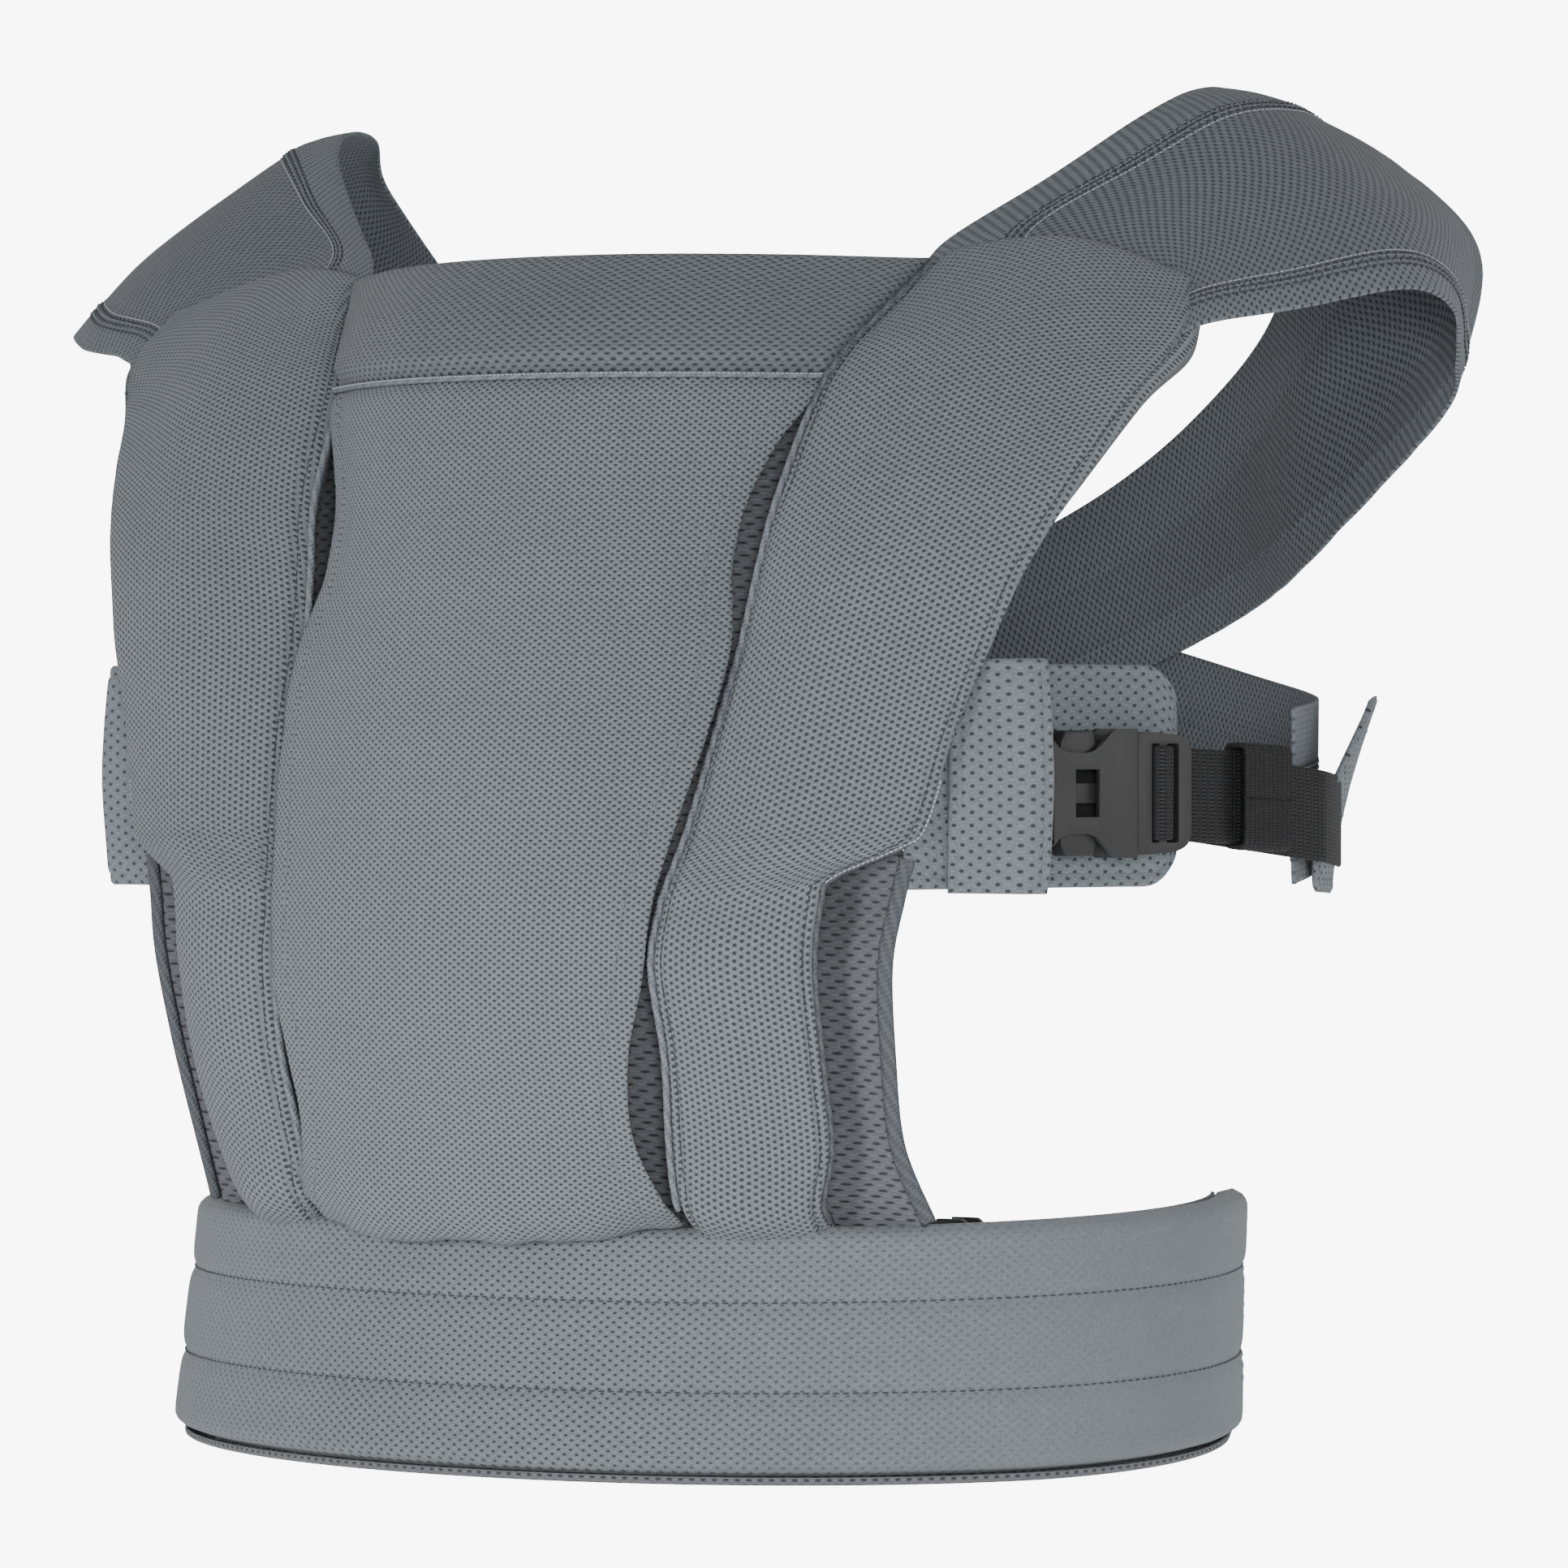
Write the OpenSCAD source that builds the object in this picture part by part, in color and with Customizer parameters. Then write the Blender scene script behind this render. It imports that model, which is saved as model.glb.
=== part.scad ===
// Soft baby carrier, worn on the front: quilted waistband, seat and front panels, head support,
// padded front straps, wide wrap straps crossed at the back, side and waist release buckles.
// Frame: +Z up, -Y is the panel side, +X is the wearer's left. Stands on the waistband.

/* [Waistband] */
// half of the waistband's outer width
waist_a = 157; // [150:1:164]
// half of the waistband's outer depth
waist_b = 127; // [120:1:134]
// waistband height
waist_h = 67; // [60:1:70]
// how far the quilted rows stand out
row_puff = 4.5; // [2:0.5:6]

/* [Panels and straps] */
// padded strap foam thickness
pad_t = 4.6; // [4:0.2:5.4]
// fabric thickness
cloth_t = 2; // [1.5:0.1:2.2]
// wrap strap width where it crosses the back
wrap_w = 48; // [44:1:54]
// head support thickness
head_t = 9; // [6:0.5:11]

/* [Buckles] */
// webbing width at the sides
web_w = 25; // [24:0.5:26]
// webbing width at the waist
waist_web_w = 38; // [36:0.5:40]
// webbing thickness
web_t = 1.6; // [1.4:0.1:1.8]

/* [Hidden] */
depth_shift = 16.5;
layer_gap = 1.1;
back_shift = -11;
band_lean = 9;
torso_a = 167.5;
torso_b = 101.5;
torso_y = 16;
side_x = 125;
side_y = -98;
side_turn = 67;
side_z = 181;
waist_back_y = waist_b + back_shift;
waist_z = waist_h / 2 - 3;

cover = [0.40, 0.43, 0.46];
mesh = [0.31, 0.32, 0.34];
black = [0.07, 0.07, 0.08];
foam = [0.86, 0.85, 0.80];
pale = [0.62, 0.65, 0.68];

// ---- smooth surfaces from a few rows of stations ----
function pick(pts, i) = pts[max(0, min(len(pts) - 1, i))];
function blend4(a, b, c, d, t) = 0.5 * (2 * b + (c - a) * t + (2 * a - 5 * b + 4 * c - d) * t * t
    + (3 * b - a - 3 * c + d) * t * t * t);
function curve(pts, u) = let (s = u * (len(pts) - 1), i = min(floor(s), len(pts) - 2))
    blend4(pick(pts, i - 1), pts[i], pts[i + 1], pick(pts, i + 2), s - i);
function surf(rows, u, v) = curve([for (r = rows) curve(r, u)], v);
function unit(v) = v / norm(v);
function facing(rows, u, v) = let (e = 0.01, u0 = max(0, u - e), u1 = min(1, u + e),
    v0 = max(0, v - e), v1 = min(1, v + e))
    unit(cross(surf(rows, u1, v) - surf(rows, u0, v), surf(rows, u, v1) - surf(rows, u, v0)));
function crown(u, v) = pow(4 * u * (1 - u), 0.6) * pow(4 * v * (1 - v), 0.6);
function flip(rows) = [for (r = rows) [for (i = [len(r) - 1:-1:0]) [-r[i][0], r[i][1], r[i][2]]]];
function side_rows(rows, side) = side > 0 ? rows : flip(rows);

// closed sheet between two offsets from a surface, the outer face raised by puff in the middle
module slab(rows, nu, nv, lo, hi, puff = 0) {
    w = nu + 1;
    n = w * (nv + 1);
    grid = [for (j = [0:nv], i = [0:nu]) let (u = i / nu, v = j / nv)
        [surf(rows, u, v), facing(rows, u, v), crown(u, v)]];
    pts = concat([for (g = grid) g[0] + g[1] * (hi + puff * g[2])], [for (g = grid) g[0] + g[1] * lo]);
    face = [for (j = [0:nv - 1], i = [0:nu - 1], k = [0, 1]) let (a = j * w + i)
        k == 0 ? [a, a + w, a + w + 1] : [a, a + w + 1, a + 1]];
    back = [for (f = face) [f[2] + n, f[1] + n, f[0] + n]];
    rim = concat([for (i = [0:nu - 1]) [i, i + 1]], [for (j = [0:nv - 1]) [j * w + nu, (j + 1) * w + nu]],
        [for (i = [nu:-1:1]) [nv * w + i, nv * w + i - 1]], [for (j = [nv:-1:1]) [j * w, (j - 1) * w]]);
    wall = [for (e = rim, k = [0, 1]) k == 0 ? [e[0], e[1], e[1] + n] : [e[0], e[1] + n, e[0] + n]];
    polyhedron(points = pts, faces = concat(face, back, [for (q = wall) [q[0], q[1], q[2]]]), convexity = 8);
}

// closed rod through a list of loops of points
module rod(loops) {
    m = len(loops[0]);
    k = len(loops);
    pts = [for (l = loops, p = l) p];
    side = [for (j = [0:k - 2], i = [0:m - 1], h = [0, 1]) let (a = j * m + i, b = j * m + (i + 1) % m)
        h == 0 ? [a, b, b + m] : [a, b + m, a + m]];
    last = (k - 1) * m;
    ends = concat([for (i = [1:m - 2]) [0, i + 1, i]], [for (i = [1:m - 2]) [last, last + i, last + i + 1]]);
    polyhedron(points = pts, faces = concat(side, ends), convexity = 6);
}

// ---- waistband ----
function ring(phi, a, b, v = 1) = [a * sin(phi), back_shift - band_lean * (1 - v) - b * cos(phi)];
function waist_rows(first, last, steps, inset) = let (a = waist_a - inset, b = waist_b - inset)
    [for (z = [0, 0.06, 0.17, 0.28, 0.32, 0.36, 0.50, 0.62, 0.66, 0.70, 0.82, 0.94, 1])
        [for (i = [0:steps]) let (p = ring(first + (last - first) * i / steps, a, b, z))
            [p[0], p[1], z * waist_h]]];
function row_bump(v) = pow(abs(sin(540 * v)), 0.5);
waist_reach = 116;
function band_point(phi, v, out) = let (p = ring(phi, waist_a + out, waist_b + out, v))
    [p[0], p[1], v * waist_h];

module waistband_outer() {
    k = 40;
    z_steps = [0, 0.02, 0.06, 0.12, 0.17, 0.23, 0.29, 0.333, 0.38, 0.44, 0.50,
        0.56, 0.62, 0.666, 0.71, 0.77, 0.83, 0.89, 0.94, 0.98, 1];
    loops = [for (i = [0:k])
        let (phi = waist_reach * (2 * i / k - 1), taper = min(1, (waist_reach - abs(phi)) / 12))
        concat([for (v = [0.5, 0]) band_point(phi, v, -row_puff - cloth_t)],
            [for (v = z_steps) band_point(phi, v, row_puff * (row_bump(v) * (0.35 + 0.65 * taper) - 1))],
            [band_point(phi, 1, -row_puff - cloth_t)])];
    color(cover) rod(loops);
}

waist_foam_t = 5;
foam_back = row_puff + cloth_t + 1 + waist_foam_t;
module waistband_foam() {
    color(foam)
        translate([0, -band_lean * 0.04, waist_h * 0.04])
            scale([1, 1, 0.92])
                slab(waist_rows(2 - waist_reach, waist_reach - 2, 24, foam_back), 36, 2, 0, waist_foam_t);
}

module waistband_lining() {
    color(mesh) slab(waist_rows(-waist_reach, waist_reach, 24, foam_back + cloth_t + 1), 36, 2, 0, cloth_t);
}

// half of the belt's plan, from the padded band's end to the buckle's webbing
function belt_plan() = concat(
    [for (phi = [waist_reach + 1, 124, 132, 140, 147]) ring(phi, waist_a - 8, waist_b - 8)],
    [[69, 97.5], [54, 104.5], [36, waist_back_y - 8.5]]);
module waist_belt(side) {
    plan = belt_plan();
    rows = [for (s = [-1, -0.4, 0.4, 1]) [for (i = [0:len(plan) - 1]) let (h = 27 - 6 * i / (len(plan) - 1))
        [plan[i][0], plan[i][1], waist_z + s * h]]];
    color(cover) slab(side_rows(rows, side), 16, 3, -2, 2, 1);
}

// ---- release buckle, its mouth at x = 0, the male side towards +x, the outer face towards -y ----
function half_w(w) = w / 2 + 4.5;
module block(x0, x1, y0, y1, z0, z1) {
    translate([x0, y0, z0])
        cube([x1 - x0, y1 - y0, z1 - z0]);
}

module buckle_female(w, len, th) {
    h = half_w(w);
    color(black)
        difference() {
            block(-len, 0, -th, 0, -h, h);
            block(-len + 7, 1, 1.6 - th, -1.6, 2 - h, h - 2);
            for (s = [-1, 1])
                translate([-len + 8, 1.6 - th, s > 0 ? h - 3 : -h - 1])
                    cube([len, th - 3.2, 4]);
            block(-len + 1.8, -len + 4.6, -th - 1, 1, -w / 2 - 0.8, w / 2 + 0.8);
            block(-len + 12, -len + 20, -th - 1, 2 - th, -w / 4, w / 4);
        }
}

module buckle_male(w, len, th) {
    color(black) {
        difference() {
            block(0.6, 19, 0.6 - th, -0.6, 0.8 - half_w(w), half_w(w) - 0.8);
            block(5.4, 8, -th, 0, -w / 2 - 0.6, w / 2 + 0.6);
            block(10.6, 14.6, -th, 0, -w / 2 - 0.6, w / 2 + 0.6);
        }
        block(-len + 10, 1, -th / 2 - 1.6, 1.6 - th / 2, -2.6, 2.6);
    }
}

module buckle_prong(w, len, th, s) {
    inner = w / 2 - 5.5;
    outer = half_w(w) - 0.5;
    color(black)
        scale([1, 1, s])
            translate([0, -1.9 - (th - 3.8), 0])
                rotate([-90, 0, 0])
                    linear_extrude(th - 3.8)
                        scale([1, -1])
                            polygon([[0, inner], [0, inner + 3.4], [-len + 21, inner + 4.2],
                                [-len + 19.5, outer], [-len + 10, outer], [-len + 8.6, outer - 3],
                                [-len + 8.6, inner + 1], [-len + 14, inner]]);
}

// one length of webbing seen edge-on: load run, round the ladder bar, folded end
module lock_webbing(w, th, t_end, t_fold) {
    top = -th + 0.6;
    color(black)
        translate([0, 0, -w / 2])
            linear_extrude(w)
                union() {
                    translate([5.9, 1.9]) square([t_end - 5.9, web_t]);
                    translate([5.9, top - 0.3 - web_t]) square([web_t, 1.9 - top + 0.3 + 2 * web_t]);
                    translate([5.9, top - 0.3 - web_t]) square([6.6, web_t]);
                    translate([10.9, top - 0.3 - web_t]) square([web_t, web_t + 0.3 - top + 2]);
                    translate([10.9, 0.1]) square([t_fold - 10.9, web_t]);
                    translate([t_fold - web_t, -2.2]) square([web_t, 2.3 + web_t]);
                    translate([20.5, -2.2]) square([t_fold - 20.5, web_t]);
                }
}

module anchor_loop(w, len, th, tail) {
    color(black)
        translate([0, 0, -w / 2])
            linear_extrude(w) {
                difference() {
                    translate([-len - 2, -th - 2]) square([5.8, th + 4 + web_t]);
                    translate([-len - 0.4, -th - 0.4]) square([2.6, th + 0.8]);
                    translate([-len - 3, 1.9 + web_t]) square([9, 9]);
                }
                translate([-len - tail, 1.9]) square([tail + 3.8, web_t]);
            }
}

module keeper(w, t0, t1) {
    color(black)
        difference() {
            block(t0, t1, -3.9, 5.3, -w / 2 - 1.7, w / 2 + 1.7);
            block(t0 - 1, t1 + 1, -2.7, 4.5, -w / 2 - 0.5, w / 2 + 0.5);
        }
}

// ---- waist closure at the back ----
waist_len = 38;
waist_th = 11;
module at_back() {
    translate([0, waist_back_y + 0.5, waist_z])
        rotate([0, 0, 180])
            children();
}

// ---- side closure, in a frame along the wing ----
side_len = 33;
side_th = 9;
mouth_t = 47;
buckle_y = -6.9;
module at_side(side) {
    mirror([side > 0 ? 0 : 1, 0, 0])
        translate([side_x, side_y, side_z])
            rotate([0, 0, side_turn])
                children();
}
module at_buckle(side) {
    at_side(side)
        translate([mouth_t, buckle_y, 0])
            children();
}

module wing_pad(side) {
    color(cover)
        at_side(side)
            translate([0, 0, 0])
                rotate([90, 0, 0])
                    linear_extrude(3)
                        hull() {
                            translate([3, -25]) square([1, 59]);
                            translate([61, -14]) circle(r = 11, $fn = 40);
                            translate([61, 23]) circle(r = 11, $fn = 40);
                        }
}

flap_plan = [[5, -4], [8, -8], [11, -18.6], [18, -19.2]];
flap_rows = [for (r = [[-26, 0], [-18, 0.5], [4, 1], [26, 0.5], [35, 0]])
    [for (c = flap_plan) [c[0], c[1] * (0.85 + 0.15 * r[1]) - 1.5, r[0]]]];
module wing_flap(side) {
    color(cover)
        at_side(side)
            slab(flap_rows, 10, 8, 0, cloth_t);
}

// ---- panels ----
function spread(half, power) = [for (h = half) [for (x = [-1, -0.72, -0.38, 0, 0.38, 0.72, 1])
    [h[0] * x, h[2] + (h[1] - h[2]) * pow(abs(x), power), h[3]]]];
// half width, edge depth, centre depth, height
panel_half = [
    [51, -132, -142, 63], [51, -135, -147.5, 77.5], [49, -142, -154.5, 95.5], [52, -147.5, -160, 114.5],
    [55, -148.5, -162, 136],
    [55.5, -145.5, -160, 155], [59, -138, -156, 175.5], [62, -130, -151, 196.5], [63.5, -122, -144.5, 219],
    [61.5, -113, -139.5, 237.5],
    [63, -105.5, -133.5, 256.5], [68.5, -97.5, -128.5, 276], [73, -89.5, -123.5, 291]];
panel_rows = spread(panel_half, 2.2);
module front_panel() {
    color(cover) slab(panel_rows, 14, 26, 0, cloth_t, 1);
}

head_half = [
    [73.5, -88.5, -122.5, 295], [77, -78, -116.5, 305.5],
    [82, -67, -108, 315.5], [87.5, -57, -99, 324.5]];
head_rows = spread(head_half, 2.2);
module head_support() {
    color(cover) slab(head_rows, 14, 8, 1 - head_t / 2, head_t / 2 - 1, 2);
}
module head_support_lining() {
    color(mesh) slab(head_rows, 14, 4, -head_t / 2 - 0.8, 0.5 - head_t / 2);
}

seat_half = [
    [[0, -122], [45, -118.5], [70, -110], [92, -97], [112, -94], 68.5],
    [[0, -131.5], [45, -126], [70, -117.5], [92.5, -105], [109.5, -106], 88.5],
    [[0, -137.5], [45, -132], [70.5, -124.5], [92.5, -112.5], [112.5, -114], 112.5],
    [[0, -140.5], [45, -136], [70.5, -129], [92.5, -117], [115.5, -119.5], 136.5],
    [[0, -139], [45, -133.5], [70.5, -125], [92.5, -113.5], [119, -117.5], 153.5],
    [[0, -138], [38, -133], [60, -125.5], [76, -116], [90, -111], 163],
    [[0, -135.5], [30, -132.5], [52, -127], [70, -116], [84, -111], 181],
    [[0, -130.5], [30, -127.5], [50, -119.5], [68, -108.5], [84, -104], 206],
    [[0, -123.5], [30, -119], [50, -109], [70, -97], [87, -93.5], 241.5],
    [[0, -113], [30, -108], [52, -95], [70, -81], [88, -74], 277]];
seat_rows = [for (h = seat_half) [for (k = [-4:4]) let (q = h[abs(k)]) [sign(k) * q[0], q[1], h[5]]]];
module seat_panel() {
    color(mesh) slab(seat_rows, 18, 18, -cloth_t, 0);
}

// ---- padded straps, wearer's left ----
strap_rows = [
    [[59, -129, 68.5], [75.5, -124, 68.5], [91.5, -111, 68.5]],
    [[59, -135, 88], [78.5, -130.5, 88], [97.5, -118, 88.5]],
    [[61, -141, 112], [80.5, -138, 112], [99.5, -126.5, 112]],
    [[59.5, -145.5, 136], [80.5, -143, 136], [100, -131.5, 136.5]],
    [[60.5, -142.5, 153], [81.5, -141, 153], [103.5, -130.5, 153.5]],
    [[63.5, -136, 170.5], [92.5, -136, 169.5], [125.5, -118, 169]],
    [[67.5, -126, 197], [98.5, -128.5, 197], [131, -112, 197]],
    [[69.5, -116, 221.5], [102.5, -122.5, 221], [138.5, -106.5, 219.5]],
    [[71.5, -110.5, 241.5], [107.5, -116.5, 241.5], [145.5, -99.5, 240.5]],
    [[73, -106.5, 262], [113.5, -106, 262], [154, -87, 262]],
    [[78, -85.5, 292.5], [120.5, -85.5, 290.5], [163.5, -67.5, 285.5]],
    [[85.5, -68, 310.5], [128.5, -59, 313], [169.5, -55, 300.5]],
    [[92.5, -49.5, 326], [124.5, -35, 330], [160.5, -42.5, 317]]];
module strap_cover(side) {
    color(cover) slab(side_rows(strap_rows, side), 8, 30, -cloth_t, 0, 2);
}
function narrow(rows, d) = [for (r = rows) let (e = unit(r[2] - r[0])) [r[0] + e * d, r[1], r[2] - e * d]];
module strap_foam(side) {
    front = -cloth_t - layer_gap;
    color(foam) slab(side_rows(narrow(strap_rows, 3), side), 6, 30, front - pad_t, front);
}
lining_back = -cloth_t - 2 * layer_gap - pad_t;
module strap_lining(side) {
    color(mesh) slab(side_rows(strap_rows, side), 6, 30, lining_back - cloth_t, lining_back);
}
function edge_strip(rows, d) = [for (r = rows) let (e = unit(r[1] - r[0]))
    [r[0] - e * (0.5 + d), r[0] - e * 0.5]];
module strap_binding(side) {
    above_band = [for (i = [1:len(strap_rows) - 1]) strap_rows[i]];
    color(pale) slab(side_rows(edge_strip(above_band, 2.2), side), 1, 34, -3.5, -0.5);
}

module thigh_binding(side) {
    rows = [for (i = [0:4]) let (q = seat_half[i][4], z = seat_half[i][5])
        [[q[0] + 2.9, q[1] + 0.6, z], [q[0] + 5.3, q[1] + 1.5, z]]];
    color(pale) slab(side_rows(rows, side), 1, 12, -2.5, 0.5);
}

// ---- wrap straps: over the shoulder, down the back, across to the other side ----
function round_back(phi, lift) = [torso_a * sin(phi), torso_y - (torso_b + lift) * cos(phi)];
cap_rows = [
    [[92, -46.5, 329], [109.5, -35.5, 334], [125.5, -30, 334], [144.5, -32.5, 329], [160.5, -38.5, 320.5],
        [171.5, -53, 304]],
    [[112, -26, 346.5], [127, -19, 350.5], [142.5, -15.5, 349.5], [162.5, -19, 342.5], [183.5, -28.5, 328],
        [196.5, -40.5, 309]],
    [[130, -7, 363.5], [141, -1.5, 365.5], [153, 0.5, 364.5], [175.5, -0.5, 353.5], [200.5, -7, 335.5],
        [215.5, -16.5, 314.5]],
    [[139, 11.5, 372.5], [150, 14.5, 371.5], [162, 17, 367.5], [183, 18.5, 354.5], [206.5, 17, 335.5],
        [217.5, 7.5, 309.5]],
    [[142, 31.5, 372], [153, 37.5, 369], [164, 41, 364], [186, 45.5, 351], [205, 45, 330],
        [208, 31, 297.5]],
    [[149, 49.5, 358], [158, 59, 353], [167.5, 63, 346], [185.5, 66.5, 334], [197.5, 61, 316],
        [196, 45, 283]]];
run_stations = [[122, 283, 80], [141, 260, 62], [160, 238, 52], [180, 219, 48],
    [200, 204, 46], [221, 192, 46], [244, 184, 47], [272, 180, 48]];
function run_rows(lift) = [for (s = run_stations) [for (k = [-0.5, -0.3, -0.1, 0.1, 0.3, 0.5])
    let (d = s[2] * wrap_w / 48 * k, lean = 0.4 * (272 - s[0]) / 140,
        up = lift * min(1, max(0, (48 - abs(s[0] - 180)) / 20)), p = round_back(s[0] - lean * d / 2.6, up))
    [p[0], p[1], s[1] - d * sqrt(1 - lean * lean)]]];
cross_lift = 6;
module wrap_strap(side) {
    rows = concat(cap_rows, run_rows(side > 0 ? 0 : cross_lift));
    color(cover) slab(side_rows(rows, side), 12, 60, -1, cloth_t - 1);
}

// end of the wrap strap, lying outside it with the webbing's end outside that
end_lift = 4.3;
end_rows = [for (z = [-1, 1]) [for (phi = [84, 92, 100, 108, 115])
    let (h = 24 + 2 * (phi - 84) / 31 + 2 * z,
        p = [(torso_a + end_lift) * sin(phi), torso_y - (torso_b + end_lift) * cos(phi)])
    [p[0] + 2 * z, p[1], side_z - 1 + z * h]]];
module strap_end(side) {
    color(cover) slab(side_rows(end_rows, side), 8, 3, -cloth_t / 2, cloth_t / 2);
}

// ---- assembly ----
module waist_female() {
    at_back() buckle_female(waist_web_w, waist_len, waist_th);
}
module waist_male() {
    at_back() buckle_male(waist_web_w, waist_len, waist_th);
}
module waist_prong(s) {
    at_back() buckle_prong(waist_web_w, waist_len, waist_th, s);
}
module waist_loop() {
    at_back() anchor_loop(waist_web_w, waist_len, waist_th, 22);
}
module waist_pull() {
    at_back() lock_webbing(waist_web_w, waist_th, 72, 60);
}
module side_female(side) {
    at_buckle(side) buckle_female(web_w, side_len, side_th);
}
module side_male(side) {
    at_buckle(side) buckle_male(web_w, side_len, side_th);
}
module side_prong(side, s) {
    at_buckle(side) buckle_prong(web_w, side_len, side_th, s);
}
module side_loop(side) {
    at_buckle(side) anchor_loop(web_w, side_len, side_th, 14);
}
module side_pull(side) {
    at_buckle(side) lock_webbing(web_w, side_th, 73, 60);
}
module side_keeper(side) {
    at_buckle(side) keeper(web_w, 42, 58);
}
module place() {
    translate([0, depth_shift, 0])
        children();
}
place() waistband_outer();
place() waistband_foam();
place() waistband_lining();
place() waist_belt(1);  // waist_belt_left
place() waist_belt(-1);  // waist_belt_right
place() waist_loop();  // waist_webbing_left
place() waist_pull();  // waist_webbing_right
place() waist_female();  // waist_buckle_female
place() waist_male();  // waist_buckle_male
place() waist_prong(1);  // waist_prong_upper
place() waist_prong(-1);  // waist_prong_lower
place() at_back() keeper(waist_web_w, 42, 58);  // waist_keeper
place() seat_panel();
place() thigh_binding(1);  // thigh_binding_left
place() thigh_binding(-1);  // thigh_binding_right
place() front_panel();
place() head_support();
place() head_support_lining();
place() strap_cover(1);  // strap_cover_left
place() strap_cover(-1);  // strap_cover_right
place() strap_foam(1);  // strap_foam_left
place() strap_foam(-1);  // strap_foam_right
place() strap_lining(1);  // strap_lining_left
place() strap_lining(-1);  // strap_lining_right
place() strap_binding(1);  // strap_binding_left
place() strap_binding(-1);  // strap_binding_right
place() wrap_strap(1);  // wrap_strap_left
place() wrap_strap(-1);  // wrap_strap_right
place() strap_end(1);  // strap_end_left
place() strap_end(-1);  // strap_end_right
place() wing_pad(1);  // wing_pad_left
place() wing_pad(-1);  // wing_pad_right
place() wing_flap(1);  // wing_flap_left
place() wing_flap(-1);  // wing_flap_right
place() side_loop(1);  // anchor_webbing_left
place() side_loop(-1);  // anchor_webbing_right
place() side_female(1);  // side_buckle_female_left
place() side_female(-1);  // side_buckle_female_right
place() side_male(1);  // side_buckle_male_left
place() side_male(-1);  // side_buckle_male_right
place() side_prong(1, 1);  // side_prong_upper_left
place() side_prong(-1, 1);  // side_prong_upper_right
place() side_prong(1, -1);  // side_prong_lower_left
place() side_prong(-1, -1);  // side_prong_lower_right
place() side_pull(1);  // side_webbing_left
place() side_pull(-1);  // side_webbing_right
place() side_keeper(1);  // webbing_keeper_left
place() side_keeper(-1);  // webbing_keeper_right
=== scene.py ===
import math
import bpy
import bmesh
import numpy as np
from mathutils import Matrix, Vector


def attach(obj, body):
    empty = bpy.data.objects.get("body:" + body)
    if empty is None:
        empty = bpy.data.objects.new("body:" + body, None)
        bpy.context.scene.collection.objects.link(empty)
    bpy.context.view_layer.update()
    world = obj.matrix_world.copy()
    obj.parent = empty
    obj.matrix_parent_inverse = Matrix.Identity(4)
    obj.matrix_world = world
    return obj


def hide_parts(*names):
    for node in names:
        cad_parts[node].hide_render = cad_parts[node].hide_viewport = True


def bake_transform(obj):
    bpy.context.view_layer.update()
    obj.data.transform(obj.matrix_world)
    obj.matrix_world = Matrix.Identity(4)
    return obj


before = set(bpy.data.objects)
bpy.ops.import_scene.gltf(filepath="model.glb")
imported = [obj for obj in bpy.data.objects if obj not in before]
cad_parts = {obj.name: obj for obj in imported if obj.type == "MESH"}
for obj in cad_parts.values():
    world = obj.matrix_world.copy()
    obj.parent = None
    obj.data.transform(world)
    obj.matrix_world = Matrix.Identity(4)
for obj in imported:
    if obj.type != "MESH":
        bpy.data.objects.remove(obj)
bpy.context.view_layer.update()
scene = bpy.context.scene
SIDES = ((1, "left"), (-1, "right"))  # the wearer's left is +x

# The camera, at the photo's angle.
SHIFT = np.array([0.0, 16.5, 0.0])  # mm, from the tables' depth to the row frame
AZ, EL, DIST = math.radians(30), math.radians(0.2), 2.0
AIM = Vector((0.0179, 0.01185, 0.183))
cam_data = bpy.data.cameras.new("camera")
cam_data.lens = 164.0
cam_data.sensor_width = 36.0
cam_data.clip_end = 30.0
cam = bpy.data.objects.new("camera", cam_data)
scene.collection.objects.link(cam)
back = Vector((math.sin(AZ) * math.cos(EL), -math.cos(AZ) * math.cos(EL), math.sin(EL)))
cam.location = AIM + back * DIST
cam.rotation_euler = back.to_track_quat("Z", "Y").to_euler()
bpy.context.scene.camera = cam


# ---- surfaces
def lengths(line):
    """Distance along a polyline at each of its points."""
    return np.r_[0, np.cumsum(np.linalg.norm(np.diff(line, axis=0), axis=1))]


def resample(A, at, q):
    """Columns of A, known at parameters at, read at q."""
    return np.stack([np.interp(q, at, A[:, i]) for i in range(A.shape[1])], 1)


def unit(v):
    return v / np.linalg.norm(v, axis=-1, keepdims=True)


def spline(pts, u):
    """Smooth curve through pts at parameters u in 0..1; pts is (k, ...)."""
    pts = np.asarray(pts, float)
    k = len(pts)
    s = np.clip(np.asarray(u, float), 0, 1) * (k - 1)
    i = np.minimum(s.astype(int), k - 2)
    t = (s - i).reshape((-1,) + (1,) * (pts.ndim - 1))
    g = lambda j: pts[np.clip(j, 0, k - 1)]
    a, b, c, d = g(i - 1), g(i), g(i + 1), g(i + 2)
    return 0.5 * (2 * b + (c - a) * t + (2 * a - 5 * b + 4 * c - d) * t**2 + (3 * b - a - 3 * c + d) * t**3)


def even(line, n):
    """n + 1 parameters that split a polyline of points evenly by length."""
    seg = lengths(line)
    return np.interp(np.linspace(0, seg[-1], n + 1), seg, np.linspace(0, 1, len(line)))


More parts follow.
